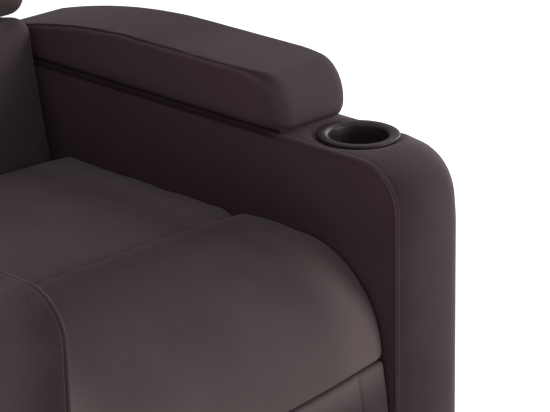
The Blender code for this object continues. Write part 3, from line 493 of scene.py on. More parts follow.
# Rivets of each body: the pivot's (y, z), the layer, and the head's way, 1 outwards and -1 inwards
RIVETS = {
    "base": [((0.225, 0.187), 1, -1), ((0.505, 0.187), 1, -1)],
    "seat": [
        ((0.270, 0.26494), 1, 1),
        ((0.550, 0.26494), 1, 1),
        ((0.270, 0.26494), 2, -1),
        ((0.550, 0.26494), 2, -1),
        ((0.150, 0.290), 2, 1),
        ((0.098, 0.309), 3, -1),
        ((0.692, 0.340), 2, 1),
    ],
    "foot_knee": [((0.255, 0.065), 4, -1), ((0.203, 0.084), 4, -1)],
    "foot_drive": [((0.256, 0.100), 5, -1)],
    "footrest": [((0.090, 0.240), 6, -1), ((0.091, 0.275), 6, -1)],
}

# Zigzag springs: how many, how far they spread, how often each turns, and the places along one
SPRING_ROWS = 4
SPRING_SPREAD = 0.330
SPRING_WAVES = 6
SPRING_PLACES = 145

# Solids taken over from the CAD: corners nearer than this are one. Angles of flat faces and of edges
# that are softened, and the angles past which an edge is shaded sharp
CAD_MERGE = 0.005 * MM
FLAT_DEG = 0.5
EDGE_DEG = 50
HARD_SMOOTH_DEG = 35
CUP_SMOOTH_DEG = 40
SOFT_SMOOTH_DEG = 60

# How strongly broad patches, the pile and the veneers show in a colour, and the painted purple tint of shaded
# cloth
PATCH_SHARE = 0.26
PILE_SHARE = 0.17
PLY_SHARE = 0.13
PAINTED_SHADE_TINT = (1.0, 0.79, 0.96, 1)

# Stage: the floor's reach, the lamps' target, places and sizes, and the photograph's camera
FLOOR_REACH = 9.0
LAMP_TARGET = (0, 0.35, 0.5)
LAMPS = {
    "key": ((1.9, -2.9, 1.25), (1.6, 1.6)),
    "side": ((3.0, 0.6, 1.4), (1.6, 1.8)),
    "top": ((-0.3, 0.6, 3.2), (2.4, 2.4)),
}
CAMERA_PLACE = (-1.989, -1.935, 1.645)
CAMERA_YAW = math.radians(-46.551)
CAMERA_PITCH = math.radians(20.477)
CAMERA_LENS = 170.95
CAMERA_SENSOR = 36.0
CAMERA_REACH = 40

LEFT_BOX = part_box("left_arm_cover")
RIGHT_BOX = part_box("right_arm_cover")
ORIGIN = Vector(((LEFT_BOX[0][0] + RIGHT_BOX[1][0]) / 2, LEFT_BOX[0][1] + ARM_FRONT_LEAN, 0))
SIDES = {"left": 1, "right": -1}


def linear(code):
    """Linear RGB of an sRGB hex colour."""
    values = [int(code[place : place + 2], 16) / 255 for place in (1, 3, 5)]
    return tuple(v / 12.92 if v <= 0.04045 else ((v + 0.055) / 1.055) ** 2.4 for v in values)


def ease(share):
    """Smooth step from 0 to 1 as a share goes from 0 to 1."""
    share = np.clip(share, 0.0, 1.0)
    return share * share * (3 - 2 * share)


def rise(value, start, reach):
    """Smooth step from 0 at a start to 1 a reach after it."""
    return ease((value - start) / reach)


def hump(share):
    """Parabola that is 1 at share 0, and 0 from share 1 on."""
    return np.maximum(0.0, 1 - share * share)


def groove(distance, width):
    """Bell that is 1 at distance 0 and fades over a width."""
    return np.exp(-((distance / width) ** 2))


def ripples(points, pitch, seed):
    """Smooth waves between -1 and 1 at places given in metres, from a few sines of unlike direction."""
    draws = np.random.default_rng(seed)
    total = np.zeros(len(points))
    for _ in range(RIPPLE_COUNT):
        way = draws.normal(size=3)
        way /= np.linalg.norm(way)
        wave = 2 * math.pi / (pitch * draws.uniform(*RIPPLE_SPREAD))
        total += np.sin(points @ way * wave + draws.uniform(0, 2 * math.pi))
    return total / RIPPLE_COUNT


def waves(points, rows, seed=0):
    """Sum of the ripples of (pitch, seed, height) rows."""
    return sum(ripples(points, pitch, seed + own) * height for pitch, own, height in rows)


def pleats(points, way, pitch, seed, height):
    """Ripples that run mostly across one direction."""
    return ripples(points * np.array(way), pitch, seed) * height


# Meshes


def new_mesh(name, points, faces):
    """A mesh from places and faces."""
    mesh = bpy.data.meshes.new(name)
    mesh.from_pydata([tuple(p) for p in points], [], faces)
    mesh.validate()
    return mesh


def clean(mesh, merge=CORNER_MERGE):
    """Merges doubled corners and turns the faces outwards."""
    shape = bmesh.new()
    shape.from_mesh(mesh)
    bmesh.ops.remove_doubles(shape, verts=shape.verts[:], dist=merge)
    bmesh.ops.dissolve_degenerate(shape, edges=shape.edges[:], dist=merge)
    bmesh.ops.recalc_face_normals(shape, faces=shape.faces[:])
    shape.to_mesh(mesh)
    shape.free()
    return mesh


def get_points(mesh):
    """Places of a mesh's corners as an array."""
    points = np.empty(len(mesh.vertices) * 3)
    mesh.vertices.foreach_get("co", points)
    return points.reshape(-1, 3)


def set_points(mesh, points):
    """Moves a mesh's corners to the places of an array."""
    mesh.vertices.foreach_set("co", np.ascontiguousarray(points, dtype=np.float32).ravel())
    mesh.update()


def grid_faces(rows, columns, closed=False, flip=False):
    """Quads between neighbouring rows of corners, each row open or closed."""
    faces = []
    for i in range(rows - 1):
        for j in range(columns if closed else columns - 1):
            k = (j + 1) % columns
            quad = (i * columns + j, (i + 1) * columns + j, (i + 1) * columns + k, i * columns + k)
            faces.append(quad[::-1] if flip else quad)
    return faces


def add_object(name, mesh):
    """A new object in the scene."""
    thing = bpy.data.objects.new(name, mesh)
    bpy.context.scene.collection.objects.link(thing)
    return thing


def plain_mesh(thing):
    """The object's evaluated shape as a plain mesh, in place of its modifiers."""
    bpy.context.view_layer.update()
    depsgraph = bpy.context.evaluated_depsgraph_get()
    mesh = bpy.data.meshes.new_from_object(thing.evaluated_get(depsgraph), depsgraph=depsgraph)
    name = thing.name
    thing.modifiers.clear()
    if thing.type == "MESH":
        thing.data = mesh
        return thing
    bpy.data.objects.remove(thing)
    return add_object(name, mesh)


def paint_light_and_shade(mesh, **layers):
    """Records at each corner a level of painted light and shade, from 0, dark, to 1, light, and how far a
    painted purple shade tint reaches.
    """
    for name, values in layers.items():
        share = PAINTED_LIGHT_SHARE if name == "nap" else 1.0
        layer = mesh.attributes.new(name, "FLOAT", "POINT")
        layer.data.foreach_set("value", np.asarray(values, dtype=np.float32) * share)


def settle(thing, body, material=None, smooth_deg=SOFT_SMOOTH_DEG, replaced=()):
    """Puts a finished piece into the CAD's frame, on its body, with its finish and what it stands for."""
    mesh = thing.data
    mesh.transform(Matrix.Translation(ORIGIN))
    if material:
        mesh.materials.clear()
        mesh.materials.append(finish(material))
    mesh.shade_smooth()
    mesh.set_sharp_from_angle(angle=math.radians(smooth_deg))
    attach(thing, body)
    if replaced:
        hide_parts(*replaced)
    return thing


def upholster(thing, body, fill, *replaced):
    """Settles a finished piece in the chair's cloth; its fill, from 0, slack, to 1, tight, is not used."""
    return settle(thing, body, "microfibre_velvet", replaced=replaced)


def subdivide(thing):
    """Rounds a piece with one subdivision."""
    change = thing.modifiers.new("fine", "SUBSURF")
    change.levels = 1
    change.render_levels = 1
    return plain_mesh(thing)


def thicken(thing, thickness):
    """Gives a sheet its thickness, inwards."""
    wall = thing.modifiers.new("wall", "SOLIDIFY")
    wall.thickness = thickness
    wall.offset = -1.0
    return plain_mesh(thing)


def puff(thing, held, pressure, cap):
    """Inflates a padded piece as cloth, held where the weight is 1, and caps how far a point may move."""
    start = get_points(thing.data)
    group = thing.vertex_groups.new(name="held")
    for index in np.nonzero(held > 0)[0]:
        group.add([int(index)], float(held[index]), "REPLACE")
    cloth = thing.modifiers.new("cloth", "CLOTH")
    for name, value in CLOTH.items():
        setattr(cloth.settings, name, value)
    cloth.settings.uniform_pressure_force = pressure
    cloth.settings.effector_weights.gravity = 0
    cloth.collision_settings.use_collision = False
    cloth.point_cache.frame_start = 1
    cloth.point_cache.frame_end = PUFF_FRAMES
    scene = bpy.context.scene
    for number in range(1, PUFF_FRAMES + 1):
        scene.frame_set(number)
        bpy.context.view_layer.update()
    depsgraph = bpy.context.evaluated_depsgraph_get()
    swollen = thing.evaluated_get(depsgraph).to_mesh()
    move = get_points(swollen) - start
    thing.evaluated_get(depsgraph).to_mesh_clear()
    length = np.linalg.norm(move, axis=1, keepdims=True)
    share = np.minimum(1.0, cap / np.maximum(length, 1e-9))
    thing.modifiers.clear()
    thing.vertex_groups.clear()
    set_points(thing.data, start + move * share * (1 - held)[:, None])
    scene.frame_set(1)


def stations(half, radius, pitch, seams):
    """Places along one axis of a soft block: fine in its round ends and beside its seams."""
    flat = half - radius
    turns = [flat + radius * math.tan(math.pi / 4 * step / ROUND_STEPS) for step in range(1, ROUND_STEPS + 1)]
    count = max(1, round(2 * flat / pitch))
    inner = [flat * (2 * step / count - 1) for step in range(count + 1)]
    if seams:
        near = [seam + step * SEAM_ROW for seam in seams for step in (-2, -1, 0, 1, 2)]
        inner = [p for p in inner if all(abs(p - seam) > 3 * SEAM_ROW for seam in seams) or abs(p) == flat]
        inner = sorted(inner + [p for p in near if abs(p) < flat])
    return [-p for p in turns[::-1]] + inner + turns


def soft_cage(halves, radius, pitch, seams=((), (), ())):
    """Corners and faces of a block with round edges, of an even grid on each side."""
    lines = [stations(half, radius, pitch, marks) for half, marks in zip(halves, seams)]
    counts = [len(line) - 1 for line in lines]
    points = []
    index_of = {}
    faces = []

    def corner(key):
        if key not in index_of:
            place = np.array([line[step] for line, step in zip(lines, key)])
            core = np.clip(place, radius - np.array(halves), np.array(halves) - radius)
            out = place - core
            index_of[key] = len(points)
            points.append(core + out / np.linalg.norm(out) * radius)
        return index_of[key]

    for axis in range(3):
        across, along = [other for other in range(3) if other != axis]
        for end in (0, counts[axis]):
            for i in range(counts[across]):
                for j in range(counts[along]):
                    ring = []
                    for step_i, step_j in ((0, 0), (1, 0), (1, 1), (0, 1)):
                        key = [0, 0, 0]
                        key[axis] = end
                        key[across] = i + step_i
                        key[along] = j + step_j
                        ring.append(corner(tuple(key)))
                    faces.append(ring)
    return np.array(points), faces


def soft_block(name, points, faces, holds, pressure, cap):
    """Object of a shaped cage, inflated and held where any of the weights is 1."""
    mesh = new_mesh(name, points, faces)
    clean(mesh, merge=CAGE_MERGE)
    thing = add_object(name, mesh)
    puff(thing, np.clip(np.maximum.reduce(holds), 0, 1), pressure, cap)
    return thing


def lean_back(points):
    """Turns places built upright at the hinge into their place on the leaning back."""
    y = HINGE[0] + points[:, 2] * math.sin(BACK_LEAN) + points[:, 1] * math.cos(BACK_LEAN)
    z = HINGE[1] + points[:, 2] * math.cos(BACK_LEAN) - points[:, 1] * math.sin(BACK_LEAN)
    return np.stack([points[:, 0], y, z], axis=1)


def run(start, end, count):
    """Places from start, and short of end, in even steps."""
    start = np.array(start)
    return [tuple(start + (np.array(end) - start) * step / count) for step in range(count)]


def arc(centre, radius, start_deg, end_deg, count, whole=False):
    """Places on an arc, short of its end unless it is wanted whole."""
    places = []
    for step in range(count + whole):
        turn = math.radians(start_deg + (end_deg - start_deg) * step / count)
        places.append((centre[0] + radius * math.cos(turn), centre[1] + radius * math.sin(turn)))
    return places


def to_right(line, closed=True):
    """Directions at right angles to a line, to its right side."""
    ahead = np.roll(line, -1, axis=0) - np.roll(line, 1, axis=0) if closed else np.gradient(line, axis=0)
    ahead /= np.linalg.norm(ahead, axis=1, keepdims=True)
    return np.stack([ahead[:, 1], -ahead[:, 0]], axis=1)


# Materials

COORDS = "ShaderNodeTexCoord"
NOISE = "ShaderNodeTexNoise"
RAMP = "ShaderNodeValToRGB"
RANGE = "ShaderNodeMapRange"
BUMP = "ShaderNodeBump"
MATH = "ShaderNodeMath"
JOIN = "ShaderNodeCombineXYZ"


def plug(tree, node, inputs):
    """Sets a node's inputs, each to a value or to a link from a socket or from a node's first output."""
    for key, value in inputs.items():
        if isinstance(value, bpy.types.Node):
            value = value.outputs[0]
        if isinstance(value, bpy.types.NodeSocket):
            tree.links.new(value, node.inputs[key])
        else:
            node.inputs[key].default_value = value


def add(tree, kind, inputs=None, stops=(), **settings):
    """Adds a node with its settings, the (place, colour) stops of its ramp, and its inputs."""
    node = tree.nodes.new(kind)
    for name, value in settings.items():
        setattr(node, name, value)
    for number, (place, colour) in enumerate(stops):
        node.color_ramp.elements[number].position = place
        node.color_ramp.elements[number].color = (*colour, 1)
    plug(tree, node, inputs or {})
    return node


def new_material(name):
    """A material with nothing but its output and shader, and its tree."""
    material = bpy.data.materials.new(name)
    material.use_nodes = True
    return material, material.node_tree


def shaded(material, **inputs):
    """The material with its shader's inputs set, their names written with underscores."""
    tree = material.node_tree
    named = {name.replace("_", " "): value for name, value in inputs.items()}
    plug(tree, tree.nodes["Principled BSDF"], named)
    return material


def per_mm(size_mm):
    """Texture scale whose features are about so many millimetres wide."""
    return 1 / (size_mm * MM)


def velvet(name):
    """Polyester microfibre velvet: a short nap that pales at grazing angles, with painted light and shade
    from each corner's stored level and a painted purple tint in shade.
    """
    settings = bpy.context.scene.chair_fabric
    material, tree = new_material(name)
    place = add(tree, COORDS).outputs["Object"]
    # Hands and sitting leave broad patches in the nap
    patches = add(tree, NOISE, {"Vector": place, "Scale": per_mm(95), "Detail": 2.0})
    # The pile is finer than this, and is drawn as coarse as it needs to show
    brushed = add(tree, "ShaderNodeMapping", {"Vector": place, "Scale": (1.0, 1.0, 0.35)})
    pile = add(tree, NOISE, {"Vector": brushed, "Scale": per_mm(2.2), "Detail": 3.0, "Roughness": 0.65})
    # Painted light and shade: each corner's stored level picks between the shaded and the lit colour
    nap = add(tree, "ShaderNodeAttribute", attribute_name="nap").outputs["Fac"]
    level = add(tree, MATH, {0: patches, 1: PATCH_SHARE, 2: nap}, operation="MULTIPLY_ADD")
    level = add(tree, MATH, {0: pile, 1: PILE_SHARE, 2: level}, operation="MULTIPLY_ADD")
    ramp = add(tree, RAMP, {"Fac": level}, stops=[(0.2, settings.shade), (1.0, settings.lit)])
    # Painted shade tint: shaded cloth is tinted purple as far as each corner's stored share
    bloom = add(tree, "ShaderNodeAttribute", attribute_name="bloom").outputs["Fac"]
    # A colour mix has its factor at input 0, its two colours at 6 and 7 and its result at output 2
    tint = {0: bloom, 6: ramp, 7: PAINTED_SHADE_TINT}
    colour = add(tree, "ShaderNodeMix", tint, data_type="RGBA", blend_type="MULTIPLY").outputs[2]
    # Soft dents of the foam, short marks where the cloth is pinched, and the pile itself
    dents = add(tree, NOISE, {"Vector": place, "Scale": per_mm(26), "Detail": 2.0})
    bump = add(tree, BUMP, {"Height": dents, "Distance": 0.6 * MM, "Strength": 0.5})
    pinched = {"Vector": place, "Scale": per_mm(17), "Detail": 2.5, "Roughness": 0.6, "Distortion": 1.6}
    marks = add(tree, RANGE, {"Value": add(tree, NOISE, pinched), "From Min": 0.63, "From Max": 0.74})
    bump = add(tree, BUMP, {"Height": marks, "Distance": 0.5 * MM, "Strength": 0.6, "Normal": bump})
    bump = add(tree, BUMP, {"Height": pile, "Distance": 0.35 * MM, "Strength": 0.45, "Normal": bump})
    return shaded(
        material,
        Base_Color=colour,
        Normal=bump,
        Roughness=0.92,
        Specular_IOR_Level=0.25,
        Sheen_Weight=0.24,
        Sheen_Roughness=0.42,
        Sheen_Tint=(*settings.sheen, 1),
    )


def twisted_thread(name):
    """Bonded polyester thread: twisted, a little glossier and lighter than the cloth that it closes."""
    settings = bpy.context.scene.chair_fabric
    material, tree = new_material(name)
    place = add(tree, COORDS).outputs["Object"]
    twist = add(tree, NOISE, {"Vector": place, "Scale": per_mm(0.7), "Detail": 1.0})
    ramp = add(tree, RAMP, {"Fac": twist}, stops=[(0.0, linear("#2e2526")), (1.0, settings.thread)])
    bump = add(tree, BUMP, {"Height": twist, "Distance": 0.1 * MM, "Strength": 0.5})
    return shaded(material, Base_Color=ramp, Normal=bump, Roughness=0.6)


def grained_plastic(name, base, light, roughness, grain_mm):
    """Moulded plastic with a fine spark-eroded grain, which breaks its gloss into a satin sheen."""
    material, tree = new_material(name)
    place = add(tree, COORDS).outputs["Object"]
    grain = add(tree, NOISE, {"Vector": place, "Scale": per_mm(grain_mm), "Detail": 2.0})
    cloud = add(tree, NOISE, {"Vector": place, "Scale": per_mm(40), "Detail": 1.0})
    ramp = add(tree, RAMP, {"Fac": cloud}, stops=[(0.3, linear(base)), (0.7, linear(light))])
    gloss = add(tree, RANGE, {"Value": grain, "To Min": roughness - 0.05, "To Max": roughness + 0.08})
    bump = add(tree, BUMP, {"Height": grain, "Distance": 0.06 * MM, "Strength": 0.5})
    return shaded(material, Base_Color=ramp, Roughness=gloss, Normal=bump, IOR=1.53, Specular_IOR_Level=0.27)


def powder_coat(name):
    """Black powder coat on pressed steel: a faint orange peel over an even satin black."""
    material, tree = new_material(name)
    place = add(tree, COORDS).outputs["Object"]
    peel = add(tree, NOISE, {"Vector": place, "Scale": per_mm(1.6), "Detail": 2.0})
    dust = add(tree, NOISE, {"Vector": place, "Scale": per_mm(22), "Detail": 4.0})
    ramp = add(tree, RAMP, {"Fac": dust}, stops=[(0.35, linear("#161617")), (0.75, linear("#242425"))])
    gloss = add(tree, RANGE, {"Value": dust, "To Min": 0.34, "To Max": 0.52})
    bump = add(tree, BUMP, {"Height": peel, "Distance": 0.08 * MM, "Strength": 0.4})
    return shaded(material, Base_Color=ramp, Roughness=gloss, Normal=bump)


def bare_metal(name, dark, light, low, high, streak_mm):
    """Bare or plated metal whose gloss wanders with the marks that handling and drawing leave."""
    material, tree = new_material(name)
    place = add(tree, COORDS).outputs["Object"]
    marks = add(tree, NOISE, {"Vector": place, "Scale": per_mm(streak_mm), "Detail": 4.0})
    ramp = add(tree, RAMP, {"Fac": marks}, stops=[(0.3, linear(dark)), (0.7, linear(light))])
    gloss = add(tree, RANGE, {"Value": marks, "To Min": low, "To Max": high})
    return shaded(material, Base_Color=ramp, Roughness=gloss, Metallic=1.0)


def timber(name, stretch, plies=None):
    """Pale softwood or plywood: long grain, and on a board's edges the stripes of its veneers."""
    material, tree = new_material(name)
    place = add(tree, COORDS).outputs["Object"]
    along = add(tree, "ShaderNodeMapping", {"Vector": place, "Scale": stretch})
    level = add(tree, NOISE, {"Vector": along, "Scale": per_mm(5), "Detail": 5.0, "Distortion": 0.4})
    if plies:
        apart = add(tree, "ShaderNodeSeparateXYZ", {"Vector": place}).outputs[plies]
        turns = add(tree, MATH, {0: apart, 1: 2 * math.pi * per_mm(3.0)}, operation="MULTIPLY")
        wave = add(tree, MATH, {0: turns}, operation="SINE")
        level = add(tree, MATH, {0: wave, 1: PLY_SHARE, 2: level}, operation="MULTIPLY_ADD")
    ramp = add(tree, RAMP, {"Fac": level}, stops=[(0.3, linear("#a67c4e")), (0.7, linear("#d3b183"))])
    bump = add(tree, BUMP, {"Height": level, "Distance": 0.2 * MM, "Strength": 0.4})
    return shaded(material, Base_Color=ramp, Normal=bump, Roughness=0.7)


# How each material is made: its colours, its gloss and its grain in mm, or how its grain is stretched and
# the axis across its veneers
FINISHES = {
    "microfibre_velvet": (velvet,),
    "polyester_thread": (twisted_thread,),
    "powder_coated_steel": (powder_coat,),
    "zinc_plated_steel": (bare_metal, "#85857f", "#b4b3ac", 0.28, 0.45, 6),
    "oiled_spring_wire": (bare_metal, "#3a3b3e", "#5a5b5e", 0.3, 0.5, 9),
    "moulded_abs": (grained_plastic, "#291b1e", "#2f2023", 0.44, 0.9),
    "moulded_polypropylene": (grained_plastic, "#141414", "#1c1c1c", 0.6, 1.4),
    "pine_rail_along_y": (timber, (1.0, 0.08, 1.0)),
    "pine_rail_along_x": (timber, (0.08, 1.0, 1.0)),
    "pine_post_upright": (timber, (1.0, 1.0, 0.08)),
    "poplar_plywood_side": (timber, (1.0, 0.12, 1.0), "X"),
    "poplar_plywood_front": (timber, (0.12, 1.0, 1.0), "Y"),
}


def finish(name):
    """The material of that name, made once."""
    make, *values = FINISHES[name]
    return bpy.data.materials.get(name) or make(name, *values)


# Rows and heads made by Geometry Nodes


def new_tree(name, sockets):
    """A Geometry Nodes tree with named inputs, given as (name, kind, default), and a material."""
    tree = bpy.data.node_groups.new(name, "GeometryNodeTree")
    tree.interface.new_socket("Geometry", in_out="INPUT", socket_type="NodeSocketGeometry")
    for label, kind, default in sockets:
        socket = tree.interface.new_socket(label, in_out="INPUT", socket_type="NodeSocket" + kind)
        socket.default_value = default
    tree.interface.new_socket("Material", in_out="INPUT", socket_type="NodeSocketMaterial")
    tree.interface.new_socket("Geometry", in_out="OUTPUT", socket_type="NodeSocketGeometry")
    return tree, add(tree, "NodeGroupInput").outputs


def close_tree(tree, points, piece, given, **how):
    """Ends a tree in one piece at each point, made real, smooth and in its material."""
    rows = add(tree, "GeometryNodeInstanceOnPoints", {"Points": points, "Instance": piece, **how})
    real = add(tree, "GeometryNodeRealizeInstances", {"Geometry": rows})
    smooth = add(tree, "GeometryNodeSetShadeSmooth", {"Geometry": real})
    last = add(tree, "GeometryNodeSetMaterial", {"Geometry": smooth, "Material": given["Material"]})
    add(tree, "NodeGroupOutput", {"Geometry": last})
    return tree


def run_tree(thing, tree, values):
    """Runs a tree on an object with its inputs by name, and keeps the result as a plain mesh."""
    modifier = thing.modifiers.new(tree.name, "NODES")
    modifier.node_group = tree
    for item in tree.interface.items_tree:
        if item.in_out == "INPUT" and item.name in values:
            modifier[item.identifier] = values[item.name]
    return plain_mesh(thing)


def stitch_tree(name):
    """Lays long beads of thread along curves, at an even spacing."""
    sizes = (("Spacing", "Float", 4 * MM), ("Length", "Float", 2.9 * MM), ("Thread", "Float", 0.55 * MM))
    tree, given = new_tree(name, sizes)
    curve = {"Curve": given["Geometry"], "Length": given["Spacing"]}
    spots = add(tree, "GeometryNodeCurveToPoints", curve, mode="LENGTH")
    ball = add(tree, "GeometryNodeMeshUVSphere", {"Segments": 6, "Rings": 5, "Radius": 1.0})
    half = add(tree, MATH, {0: given["Length"], 1: 0.5}, operation="MULTIPLY")
    size = add(tree, JOIN, {"X": given["Thread"], "Y": given["Thread"], "Z": half})
    return close_tree(tree, spots, ball, given, Rotation=spots.outputs["Rotation"], Scale=size)


def head_tree(name):
    """Sets a domed head on each point, which faces the way that the point stores."""
    tree, given = new_tree(name, (("Radius", "Float", 6 * MM), ("Height", "Float", 1.8 * MM)))
    facing = add(tree, "GeometryNodeInputNamedAttribute", {"Name": "facing"}, data_type="FLOAT_VECTOR")
    way = {"Vector": facing.outputs["Attribute"]}
    turn = add(tree, "FunctionNodeAlignRotationToVector", way, axis="Z")
    ball = add(tree, "GeometryNodeMeshUVSphere", {"Segments": 20, "Rings": 10, "Radius": 1.0})
    size = add(tree, JOIN, {"X": given["Radius"], "Y": given["Radius"], "Z": given["Height"]})
    return close_tree(tree, given["Geometry"], ball, given, Rotation=turn, Scale=size)


def spring_tree(name):
    """Draws zigzag wires side by side, each along Y."""
    sizes = (
        ("Length", "Float", 408 * MM),
        ("Wave", "Float", 22 * MM),
        ("Pitch", "Float", 68 * MM),
        ("Wire", "Float", 1.7 * MM),
        ("Rows", "Int", SPRING_ROWS),
        ("Spread", "Float", SPRING_SPREAD),
    )
    tree, given = new_tree(name, sizes)
    line = add(tree, "GeometryNodeCurvePrimitiveLine", {"End": add(tree, JOIN, {"Y": given["Length"]})})
    fine = add(tree, "GeometryNodeResampleCurve", {"Curve": line, "Count": SPRING_PLACES}, mode="COUNT")
    apart = add(tree, "ShaderNodeSeparateXYZ", {"Vector": add(tree, "GeometryNodeInputPosition")})
    turns = add(tree, MATH, {0: apart.outputs["Y"], 1: given["Pitch"]}, operation="DIVIDE")
    angle = add(tree, MATH, {0: turns, 1: 2 * math.pi}, operation="MULTIPLY")
    sine = add(tree, MATH, {0: angle}, operation="SINE")
    reach = add(tree, MATH, {0: sine, 1: given["Wave"]}, operation="MULTIPLY")
    wavy = add(tree, "GeometryNodeSetPosition", {"Geometry": fine, "Offset": add(tree, JOIN, {"X": reach})})
    ring = add(tree, "GeometryNodeCurvePrimitiveCircle", {"Resolution": 10, "Radius": given["Wire"]})
    drawn = {"Curve": wavy, "Profile Curve": ring, "Fill Caps": True}
    wire = add(tree, "GeometryNodeCurveToMesh", drawn)
    gaps = add(tree, MATH, {0: given["Rows"], 1: 1.0}, operation="SUBTRACT")
    step = add(tree, MATH, {0: given["Spread"], 1: gaps}, operation="DIVIDE")
    start = add(tree, MATH, {0: given["Spread"], 1: -0.5}, operation="MULTIPLY")
    ends = {"Start Location": add(tree, JOIN, {"X": start}), "Offset": add(tree, JOIN, {"X": step})}
    row = add(tree, "GeometryNodeMeshLine", {"Count": given["Rows"], **ends}, mode="OFFSET")
    return close_tree(tree, row, wire, given)


def tree_named(name, make):
    """The tree of that name, made once."""
    return bpy.data.node_groups.get(name) or make(name)


def sew(name, paths, body):
    """One piece of stitches along paths on the surface, each a list of places."""
    settings = bpy.context.scene.chair_fabric
    curve = bpy.data.curves.new(name, "CURVE")
    curve.dimensions = "3D"
    for path in paths:
        line = curve.splines.new("POLY")
        line.points.add(len(path) - 1)
        for point, place in zip(line.points, path):
            point.co = (*place, 1)
    values = {
        "Spacing": settings.stitch_spacing,
        "Length": settings.stitch_length,
        "Thread": settings.thread_radius,
        "Material": finish("polyester_thread"),
    }
    thing = run_tree(add_object(name, curve), tree_named("Stitch row", stitch_tree), values)
    return settle(thing, body)


def rivet(name, places, body, radius, height):
    """One piece of domed heads, at ((x, y, z), direction) places."""
    mesh = new_mesh(name, [place for place, _ in places], [])
    facing = mesh.attributes.new("facing", "FLOAT_VECTOR", "POINT")
    facing.data.foreach_set("vector", [value for _, way in places for value in way])
    values = {"Radius": radius, "Height": height, "Material": finish("zinc_plated_steel")}
    thing = run_tree(add_object(name, mesh), tree_named("Rivet heads", head_tree), values)
    return settle(thing, body)


# Arms


def arm_rows():
    """(x, end inset, top inset, panel share) of an arm cover's rows, from inner to outer side."""
    middle = ARM_LENGTH / 2
    flat_end = ARM_WIDTH - ARM_SIDE_ROUND
    rows = [(0.0, inset, inset, 1.0) for inset in (middle, *INNER_PANEL_ROWS)]
    rows += [(across * MM, end * MM, top * MM, 0.0) for across, end, top in INNER_SEAM_MM]
    for across in np.linspace(BAND_START, flat_end - BAND_STOP, BAND_ROWS):
        crown = -BAND_CROWN * hump(2 * across / ARM_WIDTH - 1)
        rows.append((across, crown, crown, 0.0))
    for share in np.linspace(0.0, 1.0, ROUND_ROWS + 1):
        turn = math.pi / 2 * share
        crown = BAND_CROWN * hump(2 * flat_end / ARM_WIDTH - 1) * (1 - share)
        in_end = ARM_END_ROUND * (1 - math.cos(turn)) - crown
        in_top = ARM_TOP_ROUND * (1 - math.cos(turn)) - crown
        rows.append((flat_end + ARM_SIDE_ROUND * math.sin(turn), in_end, in_top, 0.0))
    for past, out in OUTER_SEAM_MM:
        rows.append((ARM_WIDTH + out * MM, ARM_END_ROUND + past * MM, ARM_TOP_ROUND + past * MM, 0.0))
    rows += [(ARM_WIDTH, inset, inset - END_LAG, 1.0) for inset in (*OUTER_PANEL_ROWS, middle)]
    return rows


def arm_line(end_inset, top_inset):
    """Side view of an arm at its insets: up the leaning front, over the top and down the rear."""
    r_front = max(ARM_FRONT_RADIUS - top_inset, 0.0)
    r_rear = max(ARM_REAR_RADIUS - top_inset, 0.0)
    top = ARM_TOP - top_inset
    front = end_inset
    rear = ARM_LENGTH - end_inset
    lean = ARM_FRONT_LEAN * (1 - 2 * max(end_inset, 0.0) / ARM_LENGTH)
    over = min(max(front + r_front, CUP_PLACE + CUP_FLANGE_RADIUS + CUP_DIP_WIDTH), rear - r_rear)
    counts = ARM_LINE_STEPS
    places = run((front - lean, ARM_BOTTOM), (front, top - r_front), counts[0])
    places += arc((front + r_front, top - r_front), r_front, 180, 90, counts[1])
    places += run((front + r_front, top), (over, top), counts[2])
    places += run((over, top), (rear - r_rear, top), counts[3])
    places += arc((rear - r_rear, top - r_rear), r_rear, 90, 0, counts[4])
    places += run((rear, top - r_rear), (rear, ARM_BOTTOM), counts[5])
    return [*places, (rear, ARM_BOTTOM)]


def soften_shoulder(points):
    """Lets the outer corner of an arm's front droop and draw back, clear of the cup holder."""
    points = np.array(points)
    x, y, z = points.T
    clear = rise(np.hypot(x - ARM_MIDDLE, y - CUP_PLACE), CUP_FLANGE_RADIUS, SHOULDER_CLEAR)
    share = rise(x, ARM_MIDDLE + SHOULDER_START, SHOULDER_REACH) * rise(z, SHOULDER_LOW, SHOULDER_HEIGHT)
    share = share * ease((SHOULDER_REAR - y) / SHOULDER_LENGTH)
    points[:, 2] -= SHOULDER_DROOP * share * clear
    points[:, 1] += SHOULDER_DRAW * share
    return points


def arm_shades(across, y, z, panel):
    """Painted light level and painted shade tint along one row of an arm cover."""
    # Painted light and shade: the inner panel paler higher up, the band paler outwards and on top, a painted
    # highlight on the bead, a painted shade line where the band is tucked under the pad, and a painted purple
    # tint on the inner side
    above = rise(z, *ABOVE_SEAT)
    under_pad = rise(z - ARM_TOP, *UNDER_PAD_HEIGHT) * rise(y - PAD_FRONT, *UNDER_PAD_LENGTH)
    bloom = 1 - rise(across, SHADE_TINT_START + SHADE_TINT_START_TUCKED * under_pad, SHADE_TINT_REACH)
    if panel and across < ARM_WIDTH / 2:
        return ARM_INNER_PAINTED_LIGHT + ARM_INNER_PAINTED_LIGHT_HIGH * above, bloom
    if panel:
        return np.full(len(z), ARM_OUTER_PAINTED_LIGHT), bloom
    on_top = BAND_PAINTED_LIGHT_TOP * rise(z - ARM_TOP, *BAND_TOP_SHADE)
    nap = BAND_PAINTED_LIGHT + BAND_PAINTED_LIGHT_ACROSS * min(across / ARM_WIDTH, 1.0) + on_top
    nap = nap + BAND_PAINTED_LIGHT_BEAD * groove(across - BEAD_PLACE, BEAD_WIDTH) * (1 - BEAD_FADE_TOP * on_top)
    nap = nap + BAND_PAINTED_SHADE_TUCKED * under_pad * (1 - rise(across, *BAND_TUCKED_SHADE))
    edge = (1 - rise(across, *BAND_EDGE_SHADE)) * (1 - under_pad)
    return nap + edge * (BAND_EDGE_PAINTED_LIGHT + BAND_EDGE_PAINTED_LIGHT_HIGH * above - nap), bloom


